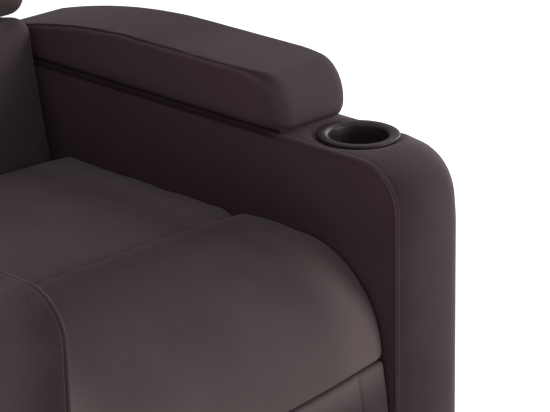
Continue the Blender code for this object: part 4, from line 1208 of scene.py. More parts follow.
def cut_cup_hole(shape):
    """Takes the cloth out of the cup holder's hole, and draws its rim to a circle."""
    centre = Vector((ARM_MIDDLE, CUP_PLACE))

    def near(vert, radius):
        return vert.co.z > ARM_TOP - CUP_CLOTH_DEPTH and (vert.co.xy - centre).length < radius

    inside = [vert for vert in shape.verts if near(vert, CUP_HOLE_RADIUS - CUP_HOLE_MARGIN)]
    bmesh.ops.delete(shape, geom=inside, context="VERTS")
    for vert in shape.verts:
        if vert.is_boundary and near(vert, CUP_FLANGE_RADIUS + CUP_RIM_MARGIN):
            vert.co.xy = centre + (vert.co.xy - centre).normalized() * CUP_HOLE_RADIUS


def make_arm_cover(name, side):
    """Fabric skin of one arm, with its seams and the hole for the cup holder."""
    rows = arm_rows()
    points = []
    nap = []
    bloom = []
    for across, end_inset, top_inset, panel in rows:
        y, z = np.array(arm_line(end_inset, top_inset)).T
        inner = across < ARM_WIDTH / 2
        deep = end_inset if inner else end_inset - ARM_END_ROUND
        swell = panel * PANEL_BULGE * (1 - math.exp(-max(deep, 0.0) / PANEL_BULGE_REACH))
        if inner:
            swell = -swell * INNER_BULGE_SHARE * rise(z, *INNER_BULGE_RISE)
        x = HALF_GAP + across + swell * rise(z, ARM_BOTTOM, PANEL_LOW_REACH)
        points.append(np.stack([x, y, z], axis=1))
        row_nap, row_painted_shade_tint = arm_shades(across, y, z, panel)
        nap.append(row_nap)
        bloom.append(row_painted_shade_tint)
    count = len(points[0])
    points = np.vstack(points)
    away = np.hypot(points[:, 0] - ARM_MIDDLE, points[:, 1] - CUP_PLACE)
    on_top = (points[:, 2] > ARM_TOP - ARM_TOP_REACH) & (points[:, 1] < PAD_FRONT)
    points[:, 2] -= on_top * CUP_DIP * (1 - rise(away, CUP_FLANGE_RADIUS - CUP_DIP_MARGIN, CUP_DIP_WIDTH))
    points = soften_shoulder(points)
    points[:, 0] += waves(points, ARM_WAVES) * np.repeat([row[3] for row in rows], count)
    mesh = new_mesh(name, points, grid_faces(len(rows), count))
    paint_light_and_shade(mesh, nap=np.concatenate(nap), bloom=np.concatenate(bloom))
    shape = bmesh.new()
    shape.from_mesh(mesh)
    bmesh.ops.remove_doubles(shape, verts=shape.verts[:], dist=CORNER_MERGE)
    cut_cup_hole(shape)
    if side < 0:
        bmesh.ops.scale(shape, vec=(-1, 1, 1), verts=shape.verts[:])
        bmesh.ops.reverse_faces(shape, faces=shape.faces[:])
    shape.to_mesh(mesh)
    shape.free()
    return thicken(add_object(name, mesh), ARM_SKIN)


def band_path(across, end_inset, top_inset):
    """Places along a line on an arm, from its foot up the front, over and down the rear."""
    return [(HALF_GAP + across, y, z) for y, z in arm_line(end_inset, top_inset)[2:-2]]


class MakeArmCovers(bpy.types.Operator):
    """Makes the fabric skins of both arms, with their grooves and topstitched seams"""

    bl_idname = "chair.arm_covers"
    bl_label = "Arm covers"

    def execute(self, context):
        for label, side in SIDES.items():
            skin = make_arm_cover(label + "_arm_cover_skin", side)
            upholster(skin, "base", ARM_FILL_SHARE, label + "_arm_cover")
            line = band_path(INNER_STITCH_ACROSS, INNER_STITCH_LIFT, INNER_STITCH_LIFT)
            line = [place for place in line if place[2] < INNER_STITCH_TOP]
            front = [place for place in line if place[1] < ARM_LENGTH / 2]
            rear = [place for place in line if place[1] > ARM_LENGTH / 2]
            outer = band_path(ARM_WIDTH + OUTER_STITCH_LIFT, OUTER_STITCH_INSET, OUTER_STITCH_INSET - END_LAG)
            paths = [[(side * x, y, z) for x, y, z in path] for path in (front, rear, soften_shoulder(outer))]
            sew(label + "_arm_stitches", paths, "base")
        return {"FINISHED"}


def pad_height(y):
    """Height of an arm pad's top above its underside, at places along it."""
    tail = np.maximum(0.0, (y - (PAD_LENGTH - PAD_TAIL)) / PAD_TAIL)
    return PAD_HEIGHT - PAD_REST - PAD_TAIL_DROP * tail * tail


def pad_line():
    """Closed side view of an arm pad: up the nose, along the top, down and back."""
    over_belly = pad_height(0) - PAD_BELLY_HEIGHT
    shares = np.arange(PAD_BELLY_STEPS) / PAD_BELLY_STEPS
    line = [(PAD_NOSE_DRAW * (1 - share) ** 2, PAD_BELLY_HEIGHT * share) for share in shares]
    for turn in np.radians(np.linspace(0, PAD_NOSE_TURN, PAD_NOSE_STEPS)):
        ahead = PAD_NOSE_REACH * (1 - math.cos(turn) ** PAD_NOSE_FULLNESS)
        line.append((ahead, PAD_BELLY_HEIGHT + over_belly * math.sin(turn) ** PAD_NOSE_FULLNESS))
    rear = PAD_LENGTH - PAD_REAR_GAP
    turn_y = rear - PAD_REAR_RADIUS
    turn_z = pad_height(turn_y) - PAD_REAR_RADIUS
    for y in np.linspace(PAD_NOSE_REACH, turn_y, PAD_TOP_STEPS + 1)[1:-1]:
        line.append((y, pad_height(y)))
    line += arc((turn_y, turn_z), PAD_REAR_RADIUS, 90, 0, PAD_REAR_STEPS, whole=True)
    line += [(rear - inset * MM, height * MM) for inset, height in PAD_REAR_FOOT_MM]
    line += [(y, 0.0) for y in np.linspace(rear - PAD_UNDER_INSET, PAD_UNDER_INSET, PAD_UNDER_STEPS + 1)]
    return np.array(line)


def shoulder_drop(x):
    """How far the arm's top has fallen at a place across it, towards its outer side."""
    share = np.clip((x - HALF_GAP - ARM_WIDTH + ARM_SIDE_ROUND) / ARM_SIDE_ROUND, 0.0, 1.0)
    return ARM_TOP_ROUND * (1 - np.sqrt(1 - share * share))


def pad_rings(side):
    """Corners of an arm pad, ring by ring from its inner to its outer panel, and how far each is held."""
    line = pad_line()
    out = -to_right(line)
    y_mid = np.clip(line[:, 0], PAD_SPINE_FRONT, PAD_LENGTH - PAD_SPINE_REAR)
    spine = np.stack([y_mid, pad_height(y_mid) / 2], axis=1)
    under = out[:, 1] < PAD_UNDER_WAY
    nose = 1 - rise(line[:, 0], *PAD_NOSE_ROUND)
    edge = np.where(under, PAD_UNDER_ROUND, PAD_EDGE_ROUND + (PAD_CORNER_ROUND - PAD_EDGE_ROUND) * nose)
    tall = pad_height(line[:, 0])
    points = []
    held = []

    def add_ring(x, inset, share, free):
        """A ring drawn in from the outline by an inset and by a share of the way to the spine."""
        ring = (line - out * inset[:, None]) * (1 - share) + spine * share
        level = np.clip(ring[:, 1] / tall, 0.0, 1.0)
        past = np.maximum(0.0, x - PAD_HALF + PAD_CORNER_RADIUS)
        back = PAD_CORNER_RADIUS - np.sqrt(np.maximum(0.0, PAD_CORNER_RADIUS**2 - past**2))
        draw = PAD_DRAW * groove(level, PAD_DRAW_SHARE) * (share < PAD_RIM_SHARE)
        y = ring[:, 0] + back * np.maximum(0.0, 1 - ring[:, 0] / PAD_CORNER_REACH)
        y += draw * np.maximum(0.0, 1 - ring[:, 0] / PAD_DRAW_REACH)
        z = level * tall - shoulder_drop(PAD_MIDDLE + x) * (1 - level) ** PAD_FALL_POWER
        x = x * (1 - draw / PAD_HALF)
        points.append(np.stack([side * (PAD_MIDDLE + x), PAD_FRONT + y, ARM_TOP + PAD_REST + z], axis=1))
        held.append(np.where(under & (share < PAD_RIM_SHARE), 1.0, 1.0 - free))

    def add_edge(way, turn_deg):
        """A ring on the round edge between a side panel and the strip, with the seam in its middle."""
        depth, width = PAD_SEAMS[way]
        turn = math.radians(turn_deg)
        seam = depth * groove(turn_deg - PAD_SEAM_TURN, width)
        x = way * (PAD_HALF - edge * (1 - math.cos(turn)) - seam)
        add_ring(x, edge * (1 - math.sin(turn)) + seam, 0.0, PAD_EDGE_FREE)

    flat = np.full(len(line), PAD_HALF)
    for share, free in PAD_SIDE_ROWS:
        add_ring(-flat, edge, share, free)
    for turn_deg in PAD_EDGE_TURNS:
        add_edge(-1, turn_deg)
    for across in np.linspace(-1.0, 1.0, PAD_TOP_ROWS):
        add_ring((flat - edge) * across, 0 * flat, 0.0, 1.0)
    for turn_deg in PAD_EDGE_TURNS[::-1]:
        add_edge(1, turn_deg)
    for share, free in PAD_SIDE_ROWS[::-1]:
        add_ring(flat, edge, share, free)
    return points, held


def make_arm_pad(name, side):
    """Boxed pad: a strip over the nose and top between two side panels, swollen between its seams."""
    rings, held = pad_rings(side)
    faces = grid_faces(len(rings), len(rings[0]), closed=True, flip=side < 0)
    mesh = new_mesh(name, np.vstack(rings), faces)
    thing = add_object(name, mesh)
    points = get_points(mesh)
    outward = np.abs(points[:, 0]) - PAD_MIDDLE
    by_seam = rise(-outward - PAD_HALF, *PAD_PUCKER_RISE)
    by_seam += PAD_OUTER_PUCKER_SHARE * rise(outward - PAD_HALF, *PAD_PUCKER_RISE)
    points[:, 2] += waves(points, PAD_PUCKERS) * by_seam * (points[:, 2] > ARM_TOP + PAD_PUCKER_LOW)
    set_points(mesh, points)
    puff(thing, np.concatenate(held), PAD_PRESSURE, PAD_SWELL)
    points = get_points(thing.data)
    x = np.abs(points[:, 0])
    points[:, 2] = np.maximum(points[:, 2], ARM_TOP + PAD_REST - shoulder_drop(x))
    points[:, 0] = side * np.clip(x, PAD_INNER - PAD_INNER_SWELL, PAD_OUTER + PAD_OUTER_SWELL)
    set_points(thing.data, points)
    # Painted light and shade: paler at the nose, darker towards the rear, the inner side lifted pale, a
    # painted shade line round the pad's foot, and a painted purple tint on the inner side, less at the nose
    nose = 1 - rise(points[:, 1] - PAD_FRONT, *PAD_NOSE_SHADE)
    rear = rise(points[:, 1] - PAD_FRONT, *PAD_REAR_SHADE)
    inner_side = 1 - rise(x - PAD_INNER, *PAD_SIDE_SHADE)
    foot = (1 + nose) * (1 - rise(points[:, 2] - ARM_TOP, *PAD_FOOT_SHADE))
    nap = PAD_PAINTED_LIGHT + PAD_PAINTED_LIGHT_ACROSS * (x - PAD_INNER) / (PAD_OUTER - PAD_INNER)
    nap = nap + PAD_PAINTED_LIGHT_NOSE * nose + PAD_PAINTED_SHADE_REAR * rear
    nap = nap + (PAD_SIDE_PAINTED_LIGHT - nap) * inner_side * (1 - PAD_SIDE_FADE_NOSE * nose) + PAD_PAINTED_SHADE_FOOT * foot
    paint_light_and_shade(thing.data, nap=nap, bloom=inner_side * (1 - PAD_SHADE_TINT_FADE_NOSE * nose))
    clean(thing.data)
    return subdivide(thing)


class MakeArmPads(bpy.types.Operator):
    """Makes the boxed pads on the arms"""

    bl_idname = "chair.arm_pads"
    bl_label = "Arm pads"

    def execute(self, context):
        for label, side in SIDES.items():
            pad = make_arm_pad(label + "_arm_pad_cover", side)
            upholster(pad, "base", PAD_FILL_SHARE, label + "_arm_pad")
        return {"FINISHED"}


def turned(name, profile, centre, sides):
    """Solid of revolution about a vertical line from an (r, z) profile that starts and ends on it."""
    points = []
    for radius, height in profile:
        points += [(x, y, height) for x, y in arc(centre, radius, 0, 360, sides)]
    return clean(new_mesh(name, points, grid_faces(len(profile), sides, closed=True)))


def rounded_profile(corners):
    """Replaces each (r, z, fillet) corner by a short curve."""
    places = []
    for number, (r, z, fillet) in enumerate(corners):
        here = np.array((r, z))
        if not fillet:
            places.append((r, z))
            continue
        before = np.array(corners[number - 1][:2]) - here
        after = np.array(corners[number + 1][:2]) - here
        start = here + before / np.linalg.norm(before) * fillet
        end = here + after / np.linalg.norm(after) * fillet
        for share in np.linspace(0.0, 1.0, CUP_FILLET_STEPS + 1):
            place = start * (1 - share) ** 2 + 2 * here * share * (1 - share) + end * share**2
            places.append(tuple(place))
    return places


class MakeCupHolders(bpy.types.Operator):
    """Makes the moulded cup holders that are let into the arms"""

    bl_idname = "chair.cup_holders"
    bl_label = "Cup holders"

    def execute(self, context):
        top = ARM_TOP + CUP_FLANGE_HEIGHT
        profile = rounded_profile([(radius, top - depth, fillet) for radius, depth, fillet in CUP_CORNERS])
        for label, side in SIDES.items():
            node = label + "_cup_holder"
            mesh = turned(node + "_moulding", profile, (side * ARM_MIDDLE, CUP_PLACE), CUP_SIDES)
            cup = add_object(node + "_moulding", mesh)
            settle(cup, "base", "moulded_abs", smooth_deg=CUP_SMOOTH_DEG, replaced=[node])
        return {"FINISHED"}


# Seat, footrest and back


def seat_shape(points):
    """Bends a flat slab into the seat: crowned, drawn in at the cross seam, and rolled down in front."""
    x, along, offset = points.T
    travel = SEAT_LENGTH / 2 - along
    over = offset / SEAT_THICKNESS + 1 / 2
    turn = np.maximum(0.0, (travel - SEAT_STRAIGHT) / ROLL_MIDDLE_RADIUS)
    radius = ROLL_MIDDLE_RADIUS + offset
    y = SEAT_REAR - np.minimum(travel, SEAT_STRAIGHT) - radius * np.sin(turn)
    z = ROLL_BOTTOM + radius * np.cos(turn)
    behind = SEAM_TRAVEL - travel
    valley = SEAM_DEPTH * groove(behind, SEAM_WIDTH) + CREASE_DEPTH * groove(behind, CREASE_WIDTH)
    drop = REAR_PANEL_DROP * rise(behind, -SEAM_WIDTH / 2, SEAM_WIDTH)
    crown = hump(x / SEAT_HALF)
    z = z + np.cos(turn) * over * (SEAT_CROWN * crown - drop - valley) - ROLL_SAG * crown * np.sin(turn) ** 2
    return np.stack([x, y, z], axis=1)


def make_seat():
    """Seat cushion, inflated between its edges and its cross seam."""
    halves = (SEAT_HALF, SEAT_LENGTH / 2, SEAT_THICKNESS / 2)
    seam = halves[1] - SEAM_TRAVEL
    flat, faces = soft_cage(halves, SEAT_EDGE_RADIUS, SEAT_GRID, ((), (seam,), ()))
    beside = np.abs(flat[:, 0]) - SEAT_HALF
    holds = [
        rise(-flat[:, 2], *SEAT_UNDER_HOLD),
        groove(flat[:, 1] - seam, SEAM_HOLD),
        rise(beside, *SEAT_SIDE_HOLD),
        rise(flat[:, 1] - halves[1], *SEAT_REAR_HOLD),
        rise(-flat[:, 1] - halves[1], *SEAT_ROLL_HOLD),
    ]
    thing = soft_block("seat_cover", seat_shape(flat), faces, holds, PUFF_PRESSURE, SEAT_SWELL)
    points = get_points(thing.data)
    top = np.clip(flat[:, 2] / halves[2], 0, 1)
    points[:, 2] += waves(points, SEAT_WAVES) * top
    points[:, 2] += pleats(flat, *SEAM_PLEATS) * top * np.exp(-np.abs(flat[:, 1] - seam) / SEAM_PLEAT_REACH)
    points[:, 2] += pleats(flat, *SIDE_PLEATS) * top * rise(beside, *SIDE_PLEAT_RISE)
    points[:, 0] = np.clip(points[:, 0], -SEAT_HALF - SEAT_SIDE_SLACK, SEAT_HALF + SEAT_SIDE_SLACK)
    set_points(thing.data, points)
    # Painted light and shade: the front panel darker past the cross seam and paler down the roll's front, and
    # paler beside the arms to offset the arms' shade, less so low on the roll
    travel = halves[1] - flat[:, 1]
    roll = rise(travel, *ROLL_SHADE)
    by_arm = SEAT_PAINTED_LIGHT_ARM + SEAT_PAINTED_LIGHT_ARM_ROLL * roll + SEAT_PAINTED_LIGHT_ARM_LOW * rise(travel, *ROLL_LOW_SHADE)
    nap = SEAT_PAINTED_LIGHT + SEAT_PAINTED_SHADE_ROLL * roll + SEAT_PAINTED_LIGHT_FRONT * rise(travel, *SEAT_FRONT_SHADE)
    paint_light_and_shade(thing.data, nap=nap + by_arm * rise(beside, *SEAT_ARM_SHADE))
    return subdivide(thing)


class MakeSeat(bpy.types.Operator):
    """Makes the seat cushion with its cross seam and front roll"""

    bl_idname = "chair.seat"
    bl_label = "Seat cushion"

    def execute(self, context):
        upholster(make_seat(), "seat", SEAT_FILL_SHARE, "seat_cushion")
        return {"FINISHED"}


def foot_shape(points):
    """Crowns an upright slab's front, sinks its two seams, draws in its top edge and lets its middle sag."""
    x, y, z = points.T
    front = 1 / 2 - y / FOOT_THICKNESS
    bulge = FOOT_CROWN * hump(z / FOOT_HALF_HEIGHT)
    bulge = bulge - FOOT_DRAW * groove(FOOT_HALF_HEIGHT - z, FOOT_DRAW_REACH)
    for depth, width in FOOT_SEAM_GROOVES:
        bulge = bulge - depth * groove(np.abs(x) - FOOT_SEAM, width)
    sag = ROLL_SAG * hump(x / FOOT_HALF) * rise(z, -FOOT_HALF_HEIGHT, 2 * FOOT_HALF_HEIGHT)
    y = FOOT_FRONT + FOOT_THICKNESS / 2 + y - front * bulge
    return np.stack([x, y, FOOT_BOTTOM + FOOT_HALF_HEIGHT + z - sag], axis=1)


def make_foot_pad():
    """Footrest's pad, inflated between its edges and its two seams."""
    halves = (FOOT_HALF, FOOT_THICKNESS / 2, FOOT_HALF_HEIGHT)
    flat, faces = soft_cage(halves, FOOT_RADIUS, FOOT_GRID, ((-FOOT_SEAM, FOOT_SEAM), (), ()))
    x, y, z = flat.T
    holds = [
        rise(y, *FOOT_BACK_HOLD),
        groove(np.abs(x) - FOOT_SEAM, FOOT_SEAM_HOLD),
        rise(np.abs(x) - FOOT_HALF, *FOOT_END_HOLD),
        rise(np.abs(z) - FOOT_HALF_HEIGHT, *FOOT_EDGE_HOLD),
    ]
    thing = soft_block("footrest_cover", foot_shape(flat), faces, holds, PUFF_PRESSURE, FOOT_SWELL)
    points = get_points(thing.data)
    front = np.clip(-y / halves[1], 0, 1)
    points[:, 1] += waves(points, FOOT_WAVES) * front
    set_points(thing.data, points)
    # Painted light: the footrest paler on its front and much paler near its top
    near_top = rise(z - FOOT_HALF_HEIGHT, *FOOT_TOP_SHADE)
    paint_light_and_shade(thing.data, nap=FOOT_PAINTED_LIGHT + FOOT_PAINTED_LIGHT_FRONT * front + FOOT_PAINTED_LIGHT_TOP * near_top)
    return subdivide(thing)


def foot_stitch_path(x):
    """Places along a vertical row of stitches on the footrest's front."""
    reach = FOOT_HALF_HEIGHT - FOOT_STITCH_END
    places = [(x, -FOOT_THICKNESS / 2, z) for z in np.linspace(-reach, reach, FOOT_STITCH_PLACES)]
    return foot_shape(np.array(places))


def on_surface(thing, paths, way, lift):
    """Moves the places of paths along a direction onto the object's surface, and a little out of it."""
    bpy.context.view_layer.update()
    shown = thing.evaluated_get(bpy.context.evaluated_depsgraph_get())
    laid = []
    for path in paths:
        row = []
        for place in path:
            start = Vector(place) + way * SEEK_START
            hit, point, normal, _ = shown.ray_cast(start, -way, distance=SEEK_REACH)
            if hit:
                row.append(point + normal * lift)
        if len(row) > 1:
            laid.append(row)
    return laid


def strip(line, profile, closed):
    """Corners and faces of a cloth strip along an (x, z) outline, from (outwards, depth) places across it."""
    out = to_right(line, closed)
    rings = []
    for outwards, depth in profile:
        ring = line + out * outwards
        rings.append(np.stack([ring[:, 0], np.full(len(ring), depth), ring[:, 1]], axis=1))
    return np.vstack(rings), grid_faces(len(profile), len(line), closed=closed, flip=True)


def hem(name, points, faces, thickness):
    """A cloth strip with its thickness, inwards."""
    mesh = new_mesh(name, points, faces)
    # Painted light and shade: the whole strip at one even level
    paint_light_and_shade(mesh, nap=np.full(len(points), HEM_PAINTED_LIGHT))
    return thicken(add_object(name, mesh), thickness)


def make_foot_wrap():
    """Cloth edge that is pulled round the footrest's board and stapled behind it."""
    low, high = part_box("footrest_board")
    start = low[1] - ORIGIN.y
    end = high[1] - ORIGIN.y
    right = (high[0] - low[0]) / 2 - WRAP_RADIUS
    top = high[2] - WRAP_RADIUS
    bottom = low[2] + WRAP_RADIUS
    line = []
    for corner, centre in enumerate(((right, top), (-right, top), (-right, bottom), (right, bottom))):
        line += arc(centre, WRAP_RADIUS, 90 * corner, 90 * corner + 90, WRAP_CORNER_STEPS, whole=True)
    dense = []
    for here, there in zip(line, line[1:] + line[:1]):
        dense += run(here, there, max(1, round(math.dist(here, there) / WRAP_SPACING)))
    profile = [(out * MM, start + depth * MM) for out, depth in WRAP_FRONT_MM]
    profile += [(out * MM, end + depth * MM) for out, depth in WRAP_REAR_MM]
    return hem("footrest_wrap", *strip(np.array(dense), profile, closed=True), WRAP_THICKNESS)


class MakeFootrest(bpy.types.Operator):
    """Makes the footrest's padded panel with its two stitched seams, and the cloth round its board"""

    bl_idname = "chair.footrest"
    bl_label = "Footrest pad"

    def execute(self, context):
        pad = make_foot_pad()
        offsets = (-FOOT_STITCH_OFFSET, FOOT_STITCH_OFFSET)
        paths = [foot_stitch_path(side * (FOOT_SEAM + offset)) for side in (1, -1) for offset in offsets]
        paths = on_surface(pad, paths, Vector((0, -1, 0)), FOOT_STITCH_LIFT)
        upholster(pad, "footrest", FOOT_FILL_SHARE, "footrest_pad")
        sew("footrest_stitches", paths, "footrest")
        upholster(make_foot_wrap(), "footrest", WRAP_FILL_SHARE)
        return {"FINISHED"}


def make_back_cushion(name, bottom, top, half_x, seed):
    """Crowned cushion whose sides pull in between its corners, on the front of the back frame."""
    half_y = BACK_DEPTH / 2
    half_z = (top - bottom) / 2
    flat, faces = soft_cage((half_x, half_y, half_z), BACK_EDGE_RADIUS, BACK_GRID)
    x, y, z = flat.T
    front = (half_y - y) / BACK_DEPTH
    crown_x = hump(x / half_x)
    crown_z = hump(z / half_z)
    draw = BACK_DRAW * front * hump(2 * front - BACK_DRAW_LEVEL)
    depth = BACK_FACE - half_y + y - front * BACK_CROWN * crown_x * crown_z
    height = bottom + half_z + z - draw * z / half_z * crown_x
    shaped = np.stack([x * (1 - draw / half_x * crown_z), depth, height], axis=1)
    edges = rise(np.abs(x) - half_x, *BACK_EDGE_HOLD) + rise(np.abs(z) - half_z, *BACK_EDGE_HOLD)
    holds = [rise(y - half_y, *BACK_REAR_HOLD), edges]
    thing = soft_block(name, lean_back(shaped), faces, holds, PUFF_PRESSURE, BACK_SWELL)
    points = get_points(thing.data)
    points[:, 1] += waves(points, BACK_WAVES, seed) * front
    set_points(thing.data, points)
    # Painted light: each back cushion paler towards its front
    paint_light_and_shade(thing.data, nap=BACK_PAINTED_LIGHT + BACK_PAINTED_LIGHT_FRONT * front)
    return subdivide(thing)


class MakeBackCushions(bpy.types.Operator):
    """Makes the lumbar, middle and head cushions"""

    bl_idname = "chair.back_cushions"
    bl_label = "Back cushions"

    def execute(self, context):
        for node, sizes in BACK_CUSHIONS.items():
            upholster(make_back_cushion(node + "_cover", *sizes), "backrest", BACK_FILL_SHARE, node)
        return {"FINISHED"}


def cover_line():
    """Closed rear view of the back cover, as (x, height) places."""
    wide, narrow = COVER_WIDE, COVER_NARROW
    turn_x = wide - COVER_CORNER_RADIUS
    turn_z = COVER_TOP - COVER_CORNER_RADIUS
    places = run((-narrow, COVER_BOTTOM), (narrow, COVER_BOTTOM), COVER_BOTTOM_STEPS)
    places += run((narrow, COVER_BOTTOM), (narrow, COVER_WAIST), COVER_SIDE_STEPS)
    places += run((narrow, COVER_WAIST), (wide, MIDDLE_TOP), COVER_WAIST_STEPS)
    places += run((wide, MIDDLE_TOP), (wide, turn_z), COVER_HEAD_STEPS)
    places += arc((turn_x, turn_z), COVER_CORNER_RADIUS, 0, 90, COVER_CORNER_STEPS)
    places += run((turn_x, COVER_TOP), (-turn_x, COVER_TOP), COVER_TOP_STEPS)
    places += arc((-turn_x, turn_z), COVER_CORNER_RADIUS, 90, 180, COVER_CORNER_STEPS)
    places += run((-wide, turn_z), (-wide, MIDDLE_TOP), COVER_HEAD_STEPS)
    places += run((-wide, MIDDLE_TOP), (-narrow, COVER_WAIST), COVER_WAIST_STEPS)
    places += run((-narrow, COVER_WAIST), (-narrow, COVER_BOTTOM), COVER_SIDE_STEPS)
    return np.array(places)


def cover_width(height):
    """Half the back cover's width at heights up its slope, with its rounded top corners."""
    width = np.interp(height, (COVER_WAIST, MIDDLE_TOP), (COVER_NARROW, COVER_WIDE))
    over = np.clip(height - COVER_TOP + COVER_CORNER_RADIUS, 0.0, COVER_CORNER_RADIUS)
    return width - COVER_CORNER_RADIUS + np.sqrt(COVER_CORNER_RADIUS**2 - over**2)


def edge_distance(places, line):
    """Distance of each place to a closed line."""
    start = line[None]
    run_on = np.roll(line, -1, axis=0)[None] - start
    to_place = places[:, None] - start
    share = np.clip((to_place * run_on).sum(-1) / (run_on**2).sum(-1), 0, 1)
    return np.linalg.norm(to_place - run_on * share[..., None], axis=-1).min(axis=1)


def make_back_panel():
    """Padded panel with round edges and a seam inside them, as two grids joined round their rims."""
    steps = np.array(COVER_EDGE_ROWS_MM) * MM
    middle = np.linspace(COVER_BOTTOM + COVER_MIDDLE_START, COVER_TOP - COVER_MIDDLE_START, COVER_ROWS)
    heights = [*(COVER_BOTTOM + steps), *middle, *(COVER_TOP - steps[::-1])]
    middle = np.linspace(-COVER_MIDDLE_SHARE, COVER_MIDDLE_SHARE, COVER_COLUMNS)
    shares = [*(steps / COVER_NARROW - 1), *middle, *(1 - steps[::-1] / COVER_NARROW)]
    grid = np.array([(share * cover_width(height), height) for height in heights for share in shares])
    inside = edge_distance(grid, cover_line())
    edge = np.maximum(0.0, COVER_EDGE_RADIUS - inside)
    behind = COVER_START + COVER_DEPTH - COVER_EDGE_RADIUS
    behind = behind + np.sqrt(np.maximum(0.0, COVER_EDGE_RADIUS**2 - edge**2))
    behind = behind - COVER_SEAM_DEPTH * groove(inside - COVER_SEAM_INSET, COVER_SEAM_WIDTH)
    behind = behind + COVER_CROWN * rise(inside, *COVER_CROWN_RISE)
    behind = behind + waves(np.c_[grid, inside], COVER_WAVES) * ease(inside / COVER_WAVE_REACH)
    rear = np.c_[grid[:, 0], behind, grid[:, 1]]
    front = np.c_[grid[:, 0], np.full(len(grid), COVER_START), grid[:, 1]]
    count = len(shares)
    rows = len(heights)
    faces = grid_faces(rows, count)
    faces += [tuple(len(grid) + corner for corner in face[::-1]) for face in faces]
    rim = [*range(count), *range(2 * count - 1, rows * count, count)]
    rim += [*range(rows * count - 2, (rows - 1) * count - 1, -1), *range((rows - 2) * count, 0, -count)]
    for a, b in zip(rim, rim[1:] + rim[:1]):
        faces.append((a, b, len(grid) + b, len(grid) + a))
    mesh = new_mesh("back_cover_panel", lean_back(np.vstack([rear, front])), faces)
    # Painted light and shade: the whole panel at one even level
    paint_light_and_shade(mesh, nap=np.full(2 * len(grid), HEM_PAINTED_LIGHT))
    return clean(mesh)


def make_back_boxing():
    """Cloth round the sides and top of the back frame and over its front, under the cushions."""
    line = cover_line()
    line = line[line[:, 1] > BOXING_BOTTOM]
    profile = [(out * MM, BOXING_FRONT + depth * MM) for out, depth in BOXING_LIP_MM]
    for depth in np.linspace(BOXING_FRONT + BOXING_SIDE_START, COVER_START + BOXING_SIDE_START, BOXING_ROWS):
        profile.append((BOXING_CROWN * hump(depth / BOXING_CROWN_REACH) - BOXING_CROWN, depth))
    points, faces = strip(line, profile, closed=False)
    heights = np.linspace(BOXING_BOTTOM, COVER_TOP - LINING_INSET, LINING_ROWS)
    widths = cover_width(heights) - LINING_INSET
    shares = np.linspace(-1, 1, LINING_COLUMNS)
    depth = BOXING_FRONT - LINING_LIFT
    lining = [(share * width, depth, height) for width, height in zip(widths, heights) for share in shares]
    lining_faces = grid_faces(LINING_ROWS, LINING_COLUMNS, flip=True)
    faces += [tuple(len(points) + corner for corner in face) for face in lining_faces]
    return hem("back_boxing", lean_back(np.vstack([points, lining])), faces, BOXING_THICKNESS)


class MakeBackCover(bpy.types.Operator):
    """Makes the padded panel behind the back frame and the cloth strip round it"""

    bl_idname = "chair.back_cover"
    bl_label = "Back cover"

    def execute(self, context):
        panel = add_object("back_cover_panel", make_back_panel())
        upholster(panel, "backrest", COVER_FILL_SHARE, "back_cover")
        upholster(make_back_boxing(), "backrest", BOXING_FILL_SHARE)
        return {"FINISHED"}


# Hard pieces


def finish_node(node, ending, body, material, edge):
    """A copy of a CAD node with merged corners, softened edges and its own finish."""
    mesh = clean(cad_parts[node].data.copy(), merge=CAD_MERGE)
    shape = bmesh.new()
    shape.from_mesh(mesh)
    bmesh.ops.dissolve_limit(
        shape, angle_limit=math.radians(FLAT_DEG), verts=shape.verts[:], edges=shape.edges[:]
    )
    shape.to_mesh(mesh)
    shape.free()
    mesh.transform(Matrix.Translation(-ORIGIN))
    thing = add_object(node + ending, mesh)
    if edge:
        soft = thing.modifiers.new("edges", "BEVEL")
        soft.width = edge
        soft.segments = 2
        soft.limit_method = "ANGLE"
        soft.angle_limit = math.radians(EDGE_DEG)
        soft.use_clamp_overlap = True
        thing = plain_mesh(thing)
    return settle(thing, body, material, smooth_deg=HARD_SMOOTH_DEG, replaced=[node])


def both(name):
    """The left and the right node of a name."""
    return ["left_" + name, "right_" + name]


# Coated steel nodes of each body
STEEL = {
    "base": both("base_plate") + ["front_cross_tube", "rear_cross_tube"],
    "swing_rear": both("rear_swing_link"),
    "swing_front": both("front_swing_link"),
    "seat": both("seat_side_plate"),
    "backrest": both("back_bracket"),
    "foot_drive": both("drive_link") + ["drive_tube"],
    "foot_guide": both("guide_link"),
    "foot_knee": both("knee_link"),
    "foot_control": both("control_link"),
    "footrest": both("footrest_bracket"),
    "release_handle": ["latch_pawl"],
}


class MakeSteelwork(bpy.types.Operator):
    """Finishes the mechanism's plates, links and tubes"""

    bl_idname = "chair.steelwork"
    bl_label = "Steelwork"

    def execute(self, context):
        for body, nodes in STEEL.items():
            for node in nodes:
                finish_node(node, "_steel", body, "powder_coated_steel", STEEL_EDGE)
        finish_node("release_shaft", "_steel", "release_handle", "zinc_plated_steel", SHAFT_EDGE)
        return {"FINISHED"}


# Wooden nodes, with each one's body and material
WOOD = {
    "left_arm_frame": ("base", "poplar_plywood_side"),
    "right_arm_frame": ("base", "poplar_plywood_side"),
    "left_seat_rail": ("seat", "pine_rail_along_y"),
    "right_seat_rail": ("seat", "pine_rail_along_y"),
    "front_seat_rail": ("seat", "pine_rail_along_x"),
    "rear_seat_rail": ("seat", "pine_rail_along_x"),
    "left_back_post": ("backrest", "pine_post_upright"),
    "right_back_post": ("backrest", "pine_post_upright"),
    "lower_back_rail": ("backrest", "pine_rail_along_x"),
    "upper_back_rail": ("backrest", "pine_rail_along_x"),
    "footrest_board": ("footrest", "poplar_plywood_front"),
}


